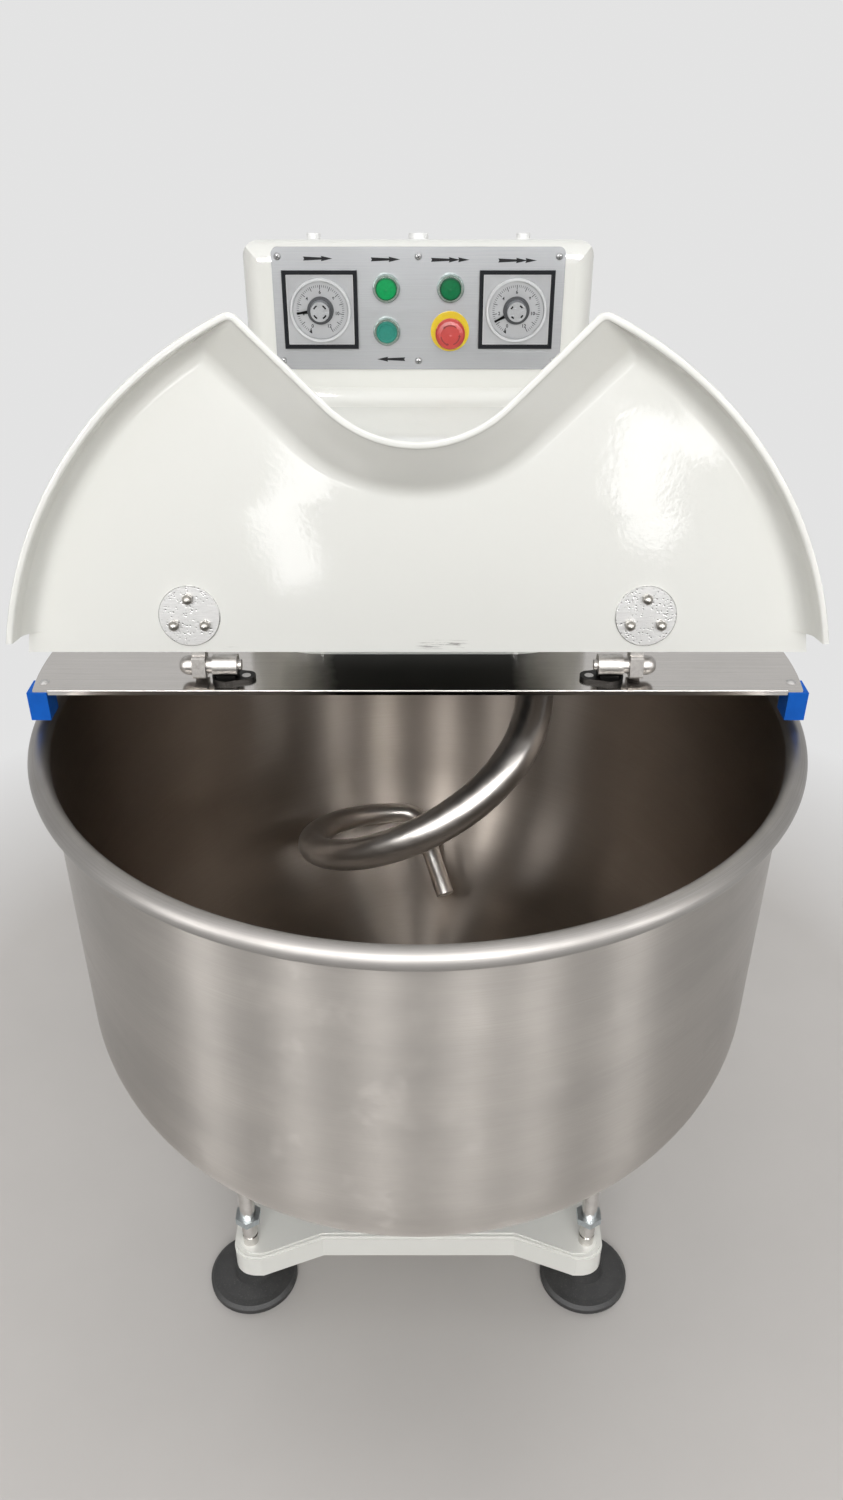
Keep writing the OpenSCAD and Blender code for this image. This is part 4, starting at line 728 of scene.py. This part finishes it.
lid = {"open": 100.0, "radius": 0.420, "edgeDrop": 0.0565, "topDrop": 0.007, "wall": 0.005,
       "lip": 0.007, "draft": 0.03, "fillet": 0.020, "tabStart": 0.018, "skirtStart": 0.040,
       "notchR": 0.120, "notchLow": 0.2375, "notchAngle": 44.0, "notchSlope": 48.0,
       "notchFoot": 0.003, "peakR": 0.014, "peakLeast": 0.004, "bend": 0.025, "lipEase": 0.0022,
       "steps": (40, 14, 16, 110)}


def lidOutline(v, a, b, q):
    # right half from the notch's middle: notch arc, flank, peak arc, skirt arc. The skirt is set in
    # by a, the notch by b, and the peak's arc has radius q
    angle = math.radians(v["notchAngle"])
    mid = np.array([0, -hingeFront])
    u = np.array([math.cos(angle), math.sin(angle)])
    w = np.array([math.sin(angle), -math.cos(angle)])
    centre = np.array([0, v["notchLow"] + v["notchR"]])
    c = centre + (v["notchR"] + b + q) * w - mid
    cu = c @ u
    p = mid + c + u * (math.sqrt(cu * cu - c @ c + (v["radius"] - a - q) ** 2) - cu)
    f0, f1 = centre + (v["notchR"] + b) * w, p - q * w
    o = (p - mid) / np.linalg.norm(p - mid)
    g0 = math.atan2(o[0], o[1])
    s0 = math.pi + math.atan2(w[0], w[1])
    g1 = math.acos((v["skirtStart"] + hingeFront) / (v["radius"] - a))
    k = [np.arange(1, n + 1)[:, None] / n for n in v["steps"]]
    notch = centre + (v["notchR"] + b) * np.hstack([np.sin(angle * k[0]), -np.cos(angle * k[0])])
    flank = f0 + (f1 - f0) * k[1]
    t = s0 - 2 * math.pi + (g0 - s0 + 2 * math.pi) * k[2]
    peak = p + q * np.hstack([np.sin(t), np.cos(t)])
    t = g0 + (g1 - g0) * k[3]
    rim = mid + (v["radius"] - a) * np.hstack([np.sin(t), np.cos(t)])
    half = np.vstack([notch, flank, peak, rim])
    return np.vstack([half[::-1] * [-1, 1], [[0, v["notchLow"] - b]], half])


def skirtSetIn(h, t, r):
    # upright, then a quarter round of radius r into the panel at height t
    return r - math.sqrt(max(0.0, r * r - max(0.0, h - t + r) ** 2))


def notchSetIn(v, h, t):
    # sloping wall that bends over into the panel at height t
    slope, bend = math.radians(v["notchSlope"]), v["bend"]
    h0, h1 = v["notchFoot"], t - bend * (1 - math.sin(slope))
    if h < h1:
        return max(0.0, h - h0) * math.tan(slope)
    s = min(1.0, math.sin(slope) + (h - h1) / bend)
    return (h1 - h0) * math.tan(slope) + bend * (math.cos(slope) - math.sqrt(max(0.0, 1 - s * s)))


def makeLid(v):
    # outer and inner wall as rows of outlines, then the flat faces between their last rows
    outH = v["edgeDrop"] - v["topDrop"]
    inH, outR = outH - v["wall"], v["fillet"] + v["wall"]
    ease = v["lipEase"]
    round13 = np.sin(np.linspace(0, np.pi / 2, 13))
    lipHeights = ease * (1 - np.cos(np.linspace(0, np.pi / 2, 5)))
    shared = np.concatenate([lipHeights, [0.004, 0.008, 0.014, 0.019]])
    outHeights = np.unique(np.concatenate([shared, outH - outR + outR * round13, [inH]]))
    inHeights = np.concatenate([shared, inH - v["fillet"] + v["fillet"] * round13])
    levels, setIns = [], []
    for h in outHeights:
        e = ease - math.sqrt(max(0.0, ease ** 2 - max(0.0, ease - h) ** 2))
        setIns.append(skirtSetIn(h, outH, outR) + e)
        line = lidOutline(v, setIns[-1], notchSetIn(v, h, outH) + e, v["peakR"] - e)
        levels.append(np.hstack([line, np.full((len(line), 1), h)]))
    for h in inHeights:
        e = ease - math.sqrt(max(0.0, ease ** 2 - max(0.0, ease - h) ** 2))
        line = lidOutline(v, v["lip"] + v["draft"] * h + skirtSetIn(h, inH, v["fillet"]) - e,
                          v["lip"] + notchSetIn(v, h, inH) - e,
                          max(v["peakLeast"], v["peakR"] - v["lip"] + e))
        levels.append(np.hstack([line, np.full((len(line), 1), h)]))
    n, nOut, nIn = len(levels[0]), len(outHeights), len(inHeights)
    tabK = int(np.searchsorted(outHeights, inH - 1e-9))
    # corners of the rear tab follow the skirt's circle at every height from the inner face up
    wide = np.sqrt((v["radius"] - np.array(setIns[tabK:])) ** 2 - (v["tabStart"] + hingeFront) ** 2)
    height = outHeights[tabK:]
    back = np.full(len(wide), v["tabStart"])
    pts = np.vstack([*levels, *(np.stack([x, back, height], -1) for x in (-wide, wide))])
    tabL = (nOut + nIn) * n + np.arange(len(wide))
    tabR = tabL + len(wide)
    lipA, lipB = np.arange(n - 1), nOut * n + np.arange(n - 1)
    quads = [gridFaces(nOut, n)[:, ::-1], gridFaces(nIn, n, offset=nOut * n),
             np.stack([lipA, lipA + 1, lipB + 1, lipB], -1)]
    polygons = []
    for end, tab in ((0, tabL), (n - 1, tabR)):
        outer, inner = np.arange(nOut) * n + end, (nOut + np.arange(nIn)) * n + end
        polygons.append([*outer[:tabK + 1], *inner[::-1]])
        up = outer[tabK:]
        quads.append(np.stack([up[:-1], up[1:], tab[1:], tab[:-1]], -1))
    top = np.arange((nOut - 1) * n, nOut * n)
    under = np.arange((nOut + nIn - 1) * n, (nOut + nIn) * n)
    polygons.append([*top, tabR[-1], tabL[-1]])
    polygons.append([*under[::-1], tabK * n, tabL[0], tabR[0], tabK * n + n - 1])
    polygons.append([*tabL, *tabR[::-1]])
    # closed frame (x, forwards, height) to the open place: turn about the hinge axis
    forward, lift = -pts[:, 1], pts[:, 2] - v["edgeDrop"]
    a = -math.radians(v["open"])
    place = np.stack([pts[:, 0], forward * math.cos(a) - lift * math.sin(a) + hingeY,
                      forward * math.sin(a) + lift * math.cos(a) + hingeZ], -1)
    faces = np.vstack(quads).tolist() + [[int(k) for k in p] for p in polygons]
    piece = closedPiece("lidTray", place, faces, gelCoat, 35)
    return seat(piece, "lid", "ivory_moulding", "lid_shell")


makeLid(lid)
print("lid made")


sunk = 0.00002  # the back of a print lies this far inside the surface it is on


def flatPiece(name, outlines, thick, finish, body, slotName, surface):
    # flat shapes given as arrays of (x, z): a ring at y = surface + sunk, one at
    # y = surface - thick, and a wall between them
    points, faces, first = [], [], 0
    for line in outlines:
        n = len(line)
        points += [np.insert(line, 1, y, axis=1) for y in (surface + sunk, surface - thick)]
        back = first + np.arange(n)
        onward = np.roll(back, -1)
        faces += [(back + n).tolist(), back[::-1].tolist()]
        faces += np.stack([back, onward, onward + n, back + n], -1).tolist()
        first += 2 * n
    return seat(closedPiece(name, np.vstack(points), faces, finish), body, slotName)


def turnedShape(angle, points):
    # points (r, s) laid out from the middle: r (sin a, cos a) + s (cos a, -sin a)
    outward = np.stack([np.sin(angle), np.cos(angle)], -1)[..., None, :]
    across = np.stack([np.cos(angle), -np.sin(angle)], -1)[..., None, :]
    return points[..., :1] * outward + points[..., 1:] * across


arrows = {"spots": [(-0.127, 0.0615, 1, 1), (-0.0415, 0.0605, 1, 1), (0.0385, 0.0600, 1, 2),
                    (0.1235, 0.0592, 1, 2), (-0.0360, -0.0620, -1, 1)], "length": 0.037,
          "tailHalf": 0.0024, "neckHalf": 0.0013, "headHalf": 0.0032, "notch": 0.0012,
          "secondHead": 0.0118, "centring": 0.004}


def arrowOutlines(v, x, z, way, heads):
    # tapered shaft, then one or two slim heads, each with a notch at its back
    tail, start, notch, half = -v["length"] / 2, v["length"] * 0.14, v["notch"], v["headHalf"]
    shaft = np.array([(tail, v["tailHalf"]), (tail + notch, 0), (tail, -v["tailHalf"]),
                      (start, -v["neckHalf"]), (start, v["neckHalf"])])
    tip = np.array([(start - notch, half), (start, 0), (start - notch, -half),
                    (v["length"] / 2, 0)])
    shapes = [shaft, tip]
    if heads == 2:
        shapes.append(tip * (1, 0.9) + (v["secondHead"], 0))
        x = x - v["centring"]  # the longer arrow is centred again
    return [shape * (way, 1) + (x, z) for shape in shapes]


def makeArrows(v):
    # one arrow at each spot (x, height from the panel's middle, way, heads)
    lines = []
    for x, dz, way, heads in v["spots"]:
        lines += arrowOutlines(v, x, panelZ + dz, way, heads)
    return flatPiece("directionArrows", lines, 0.0001, plastic["printBlack"], "frame_body",
                     "black_plastic", panelY)


makeArrows(arrows)

timer = {"x": (-0.126, 0.126), "faceY": panelY - 0.0035, "tickOut": 0.0308, "major": 0.0056,
         "minor": 0.0030, "majorHalf": 0.00040, "minorHalf": 0.00026, "numberR": 0.0222,
         "frameIn": 0.0424, "numberSize": 0.0058,
         "wedge": ((0.0262, 0), (0.0312, -0.0030), (0.0312, 0.0006))}


def makeTimerPrint(v):
    # ticks every 5 degrees over 300, longer and wider on whole units, with a wedge at zero
    k = np.arange(61)
    whole = k % 5 == 0
    inner = v["tickOut"] - np.where(whole, v["major"], v["minor"])
    outer = np.full(len(k), v["tickOut"])
    half = np.where(whole, v["majorHalf"], v["minorHalf"])
    corners = np.stack([np.stack([inner, inner, outer, outer], -1),
                        half[:, None] * [1, -1, -1, 1]], -1)
    ticks = turnedShape(np.radians(-150 + 5 * k), corners)
    wedge = turnedShape(math.radians(-152), np.array(v["wedge"]))
    shapes = [shape + (x0, panelZ) for x0 in v["x"] for shape in (*ticks, wedge)]
    black, white = plastic["printBlack"], plastic["printWhite"]
    flatPiece("timerTicks", shapes, 0.00008, black, "frame_body", "black_plastic", v["faceY"])
    for name, a, t, raised, finish, slot in (
            ("timerEdgeBands", v["frameIn"] + 0.0009, 0.0018, 0.0002, black, "black_plastic"),
            ("timerEdgeLines", v["frameIn"], 0.0005, 0.0003, white, "white_plastic")):
        edge = []
        for x0 in v["x"]:
            for p, q in ((-a - t / 2, -a + t / 2), (a - t / 2, a + t / 2)):
                edge += [np.array([(-a, p), (a, p), (a, q), (-a, q)]) + (x0, panelZ),
                         np.array([(p, -a), (q, -a), (q, a), (p, a)]) + (x0, panelZ)]
        flatPiece(name, edge, raised, finish, "frame_body", slot, panelY - 0.0023)


def makeNumber(text, x, z, size, surface):
    # one dial number, filled and thin, made a mesh before it is placed
    curve = bpy.data.curves.new("digits", "FONT")
    curve.body, curve.size, curve.offset = text, size, 0.00014
    curve.align_x, curve.align_y = "CENTER", "CENTER"
    temp = newObject("digits", curve)
    bpy.context.view_layer.update()
    depsgraph = bpy.context.evaluated_depsgraph_get()
    mesh = bpy.data.meshes.new_from_object(temp.evaluated_get(depsgraph))
    bpy.data.objects.remove(temp)
    co = np.zeros(len(mesh.vertices) * 3)
    mesh.vertices.foreach_get("co", co)
    co = co.reshape(-1, 3)
    co -= (co.min(0) + co.max(0)) / 2
    co = np.stack([co[:, 0] + x, np.full(len(co), surface - 0.00008), co[:, 1] + z], -1)
    faces = [tuple(p.vertices) for p in mesh.polygons]
    bpy.data.meshes.remove(mesh)
    return co, faces


def makeTimerNumbers(v):
    # 0 to 12 by twos at (r sin a, r cos a), a = -150 + 25 n degrees
    allPts, allFaces, k = [], [], 0
    for x0 in v["x"]:
        for value in range(0, 13, 2):
            a = math.radians(-150 + 25 * value)
            co, faces = makeNumber(str(value), x0 + math.sin(a) * v["numberR"],
                                   panelZ + math.cos(a) * v["numberR"], v["numberSize"], v["faceY"])
            allPts.append(co)
            allFaces += [(np.array(f) + k).tolist() for f in faces]
            k += len(co)
    mesh = bpy.data.meshes.new("timerNumbers")
    mesh.from_pydata(np.vstack(allPts).tolist(), [], allFaces)
    mesh.materials.append(plastic["printBlack"])
    seat(newObject("timerNumbers", mesh), "frame_body", "black_plastic")


makeTimerPrint(timer)
makeTimerNumbers(timer)

stopMark = {"x": 0.041, "z": panelZ - 0.0265, "y": panelY - 0.0246, "radius": 0.0120,
            "wide": 0.0015, "tipHalf": 0.0019, "arcs": ((52, 128), (188, 250), (-72, -8))}
screwCross = {"x": (-0.178, 0.0, 0.178), "dz": (-0.064, 0.064), "y": panelY - 0.00298,
              "long": 0.0026, "wide": 0.0006}


def makeStopMarks(v):
    # three arcs about the head's middle, each ending in a small arrow tip
    marks = []
    for a0, a1 in v["arcs"]:
        outer = arcPoints(v["x"], v["z"], v["radius"] + v["wide"] / 2, a0, a1, 14)
        inner = arcPoints(v["x"], v["z"], v["radius"] - v["wide"] / 2, a1, a0, 14)
        r = v["radius"] + v["tipHalf"] * np.array([1, -1, 0])
        a = np.radians([a1 - 1, a1 - 1, a1 + 13])
        tip = np.stack([v["x"] + r * np.cos(a), v["z"] + r * np.sin(a)], -1)
        marks += [np.vstack([outer, inner]), tip]
    flatPiece("stopTwistMarks", marks, 0.00025, plastic["twistMarkRed"], "stop_head",
              "red_plastic", v["y"])


def makeScrewCrosses(v):
    # two crossed dark bars in each panel screw's head, painted shade of its cross recess, turned a
    # little differently in each
    places = np.array([(x, panelZ + dz) for x in v["x"] for dz in v["dz"]])
    bar = np.array([(-1, 1), (1, 1), (1, -1), (-1, -1)]) * (v["long"], v["wide"])
    k = np.arange(len(places))
    for name, turn, raised in (("screwRecesses", 0, 0.00008), ("screwRecessesAcross", 90, 0.00012)):
        bars = turnedShape(np.radians(65 - 31 * k - turn), bar) + places[:, None]
        flatPiece(name, bars, raised, plastic["recessPaintedShade"], "frame_body", "zinc_steel", v["y"])


makeStopMarks(stopMark)
makeScrewCrosses(screwCross)
print("panel prints made")


studio = {"floor": (0.60, 0.575, 0.55), "wall": (0.77, 0.77, 0.77), "front": (0.22, 0.22, 0.225),
          "fade": (0.85, 1.45)}


def paleRays(tree):
    # 1 for rays that see the surround as it is: from the camera, off metal, or through glass
    ray = tree.nodes.new("ShaderNodeLightPath").outputs
    mirrored = mathOf(tree, "MAXIMUM", ray["Is Glossy Ray"], ray["Is Transmission Ray"])
    return mathOf(tree, "MAXIMUM", ray["Is Camera Ray"], mirrored)


def makeStage(v):
    # a pale floor that fades with distance into the colour of the wall; it keeps its shadow
    bpy.ops.mesh.primitive_circle_add(vertices=96, radius=60, fill_type="NGON", location=(0, 0, 0))
    floor = bpy.context.object
    floor.name = "floorSheet"
    m, tree, shader = startFinish("floorCoating", v["floor"], 0.42)
    place = objectPlace(tree)
    cloud = noiseOf(tree, place, 1.6, 5.0, 0.6)
    tree.links.new(blendColours(tree, rangeOf(tree, cloud, 0.35, 0.7, 0.0, 1.0), v["floor"],
                           tuple(c * 0.93 for c in v["floor"])), shader.inputs["Base Color"])
    far = mathOf(tree, "MULTIPLY", paleRays(tree),
                 rangeOf(tree, lengthOf(tree, place), *v["fade"], 0.0, 1.0))
    white = tree.nodes.new("ShaderNodeEmission")
    white.inputs["Color"].default_value = (*v["wall"], 1)
    mix = tree.nodes.new("ShaderNodeMixShader")
    tree.links.new(far, mix.inputs[0])
    tree.links.new(shader.outputs[0], mix.inputs[1])
    tree.links.new(white.outputs[0], mix.inputs[2])
    tree.links.new(mix.outputs[0], tree.nodes["Material Output"].inputs["Surface"])
    floor.data.materials.append(m)
    world = bpy.data.worlds.new("softSky")
    bpy.context.scene.world = world
    world.use_nodes = True
    tree = world.node_tree
    # the sky: as pale as the wall, but dimmer from the front for all that is not direct sight,
    # metal or glass
    way = splitOf(tree, tree.nodes.new("ShaderNodeTexCoord").outputs["Generated"])
    behind = rangeOf(tree, way[1], -0.1, 0.35, 0.0, 1.0)
    pale = mathOf(tree, "MAXIMUM", paleRays(tree), behind)
    tree.links.new(blendColours(tree, pale, v["front"], v["wall"]),
                   tree.nodes["Background"].inputs["Color"])


# name, place, target, size, radiance, lean in degrees, what it lights
lamps = [("windowLeft", (-0.525, -3.6, 1.04), (-0.525, 0, 1.04), (0.165, 0.70), 4.4, 22, "all"),
         ("windowRight", (0.885, -3.6, 1.14), (0.885, 0, 1.14), (0.165, 0.66), 4.4, -27, "all"),
         ("ceilingLamp", (0.0, -0.6, 3.7), (0, -0.3, 0.6), (4.4, 3.4), 0.82, 0, "all"),
         ("frontSoftLamp", (0.1, -3.4, 2.7), (0, 0, 0.8), (3.2, 1.8), 4.9, 0, "paint"),
         ("tallOuterLeft", (-1.85, -3.2, 2.7), (0, 0, 0.9), (0.2, 2.6), 44.0, 0, "metal"),
         ("tallInnerLeft", (-0.62, -3.5, 3.1), (0, 0, 0.9), (0.16, 2.4), 66.0, 0, "metal"),
         ("tallInnerRight", (0.78, -3.5, 3.1), (0, 0, 0.9), (0.16, 2.4), 66.0, 0, "metal"),
         ("tallOuterRight", (1.85, -3.2, 2.7), (0, 0, 0.9), (0.2, 2.6), 36.0, 0, "metal"),
         ("sideLeft", (-2.9, -2.1, 2.0), (0, 0, 0.8), (0.5, 2.2), 15.0, 0, "metal"),
         ("sideRight", (2.9, -2.1, 2.0), (0, 0, 0.8), (0.5, 2.2), 11.0, 0, "metal")]


def makeLamp(name, place, target, size, radiance, lean, reach):
    # a lamp of even radiance L over an area A sends out pi A L watts; it leans by some degrees,
    # and may light only what shines ("metal") or only what is matt ("paint")
    data = bpy.data.lights.new(name, "AREA")
    data.shape = "RECTANGLE"
    data.size, data.size_y = size
    data.energy = math.pi * size[0] * size[1] * radiance
    lamp = newObject(name, data)
    lamp.location = place
    aim = (Vector(target) - Vector(place)).to_track_quat("-Z", "Y")
    lamp.rotation_euler = (aim @ Quaternion((0, 0, 1), math.radians(lean))).to_euler()
    lamp.visible_camera = False
    lamp.visible_diffuse = reach != "metal"
    lamp.visible_glossy = reach != "paint"


makeStage(studio)
for lampArgs in lamps:
    makeLamp(*lampArgs)

print("done")
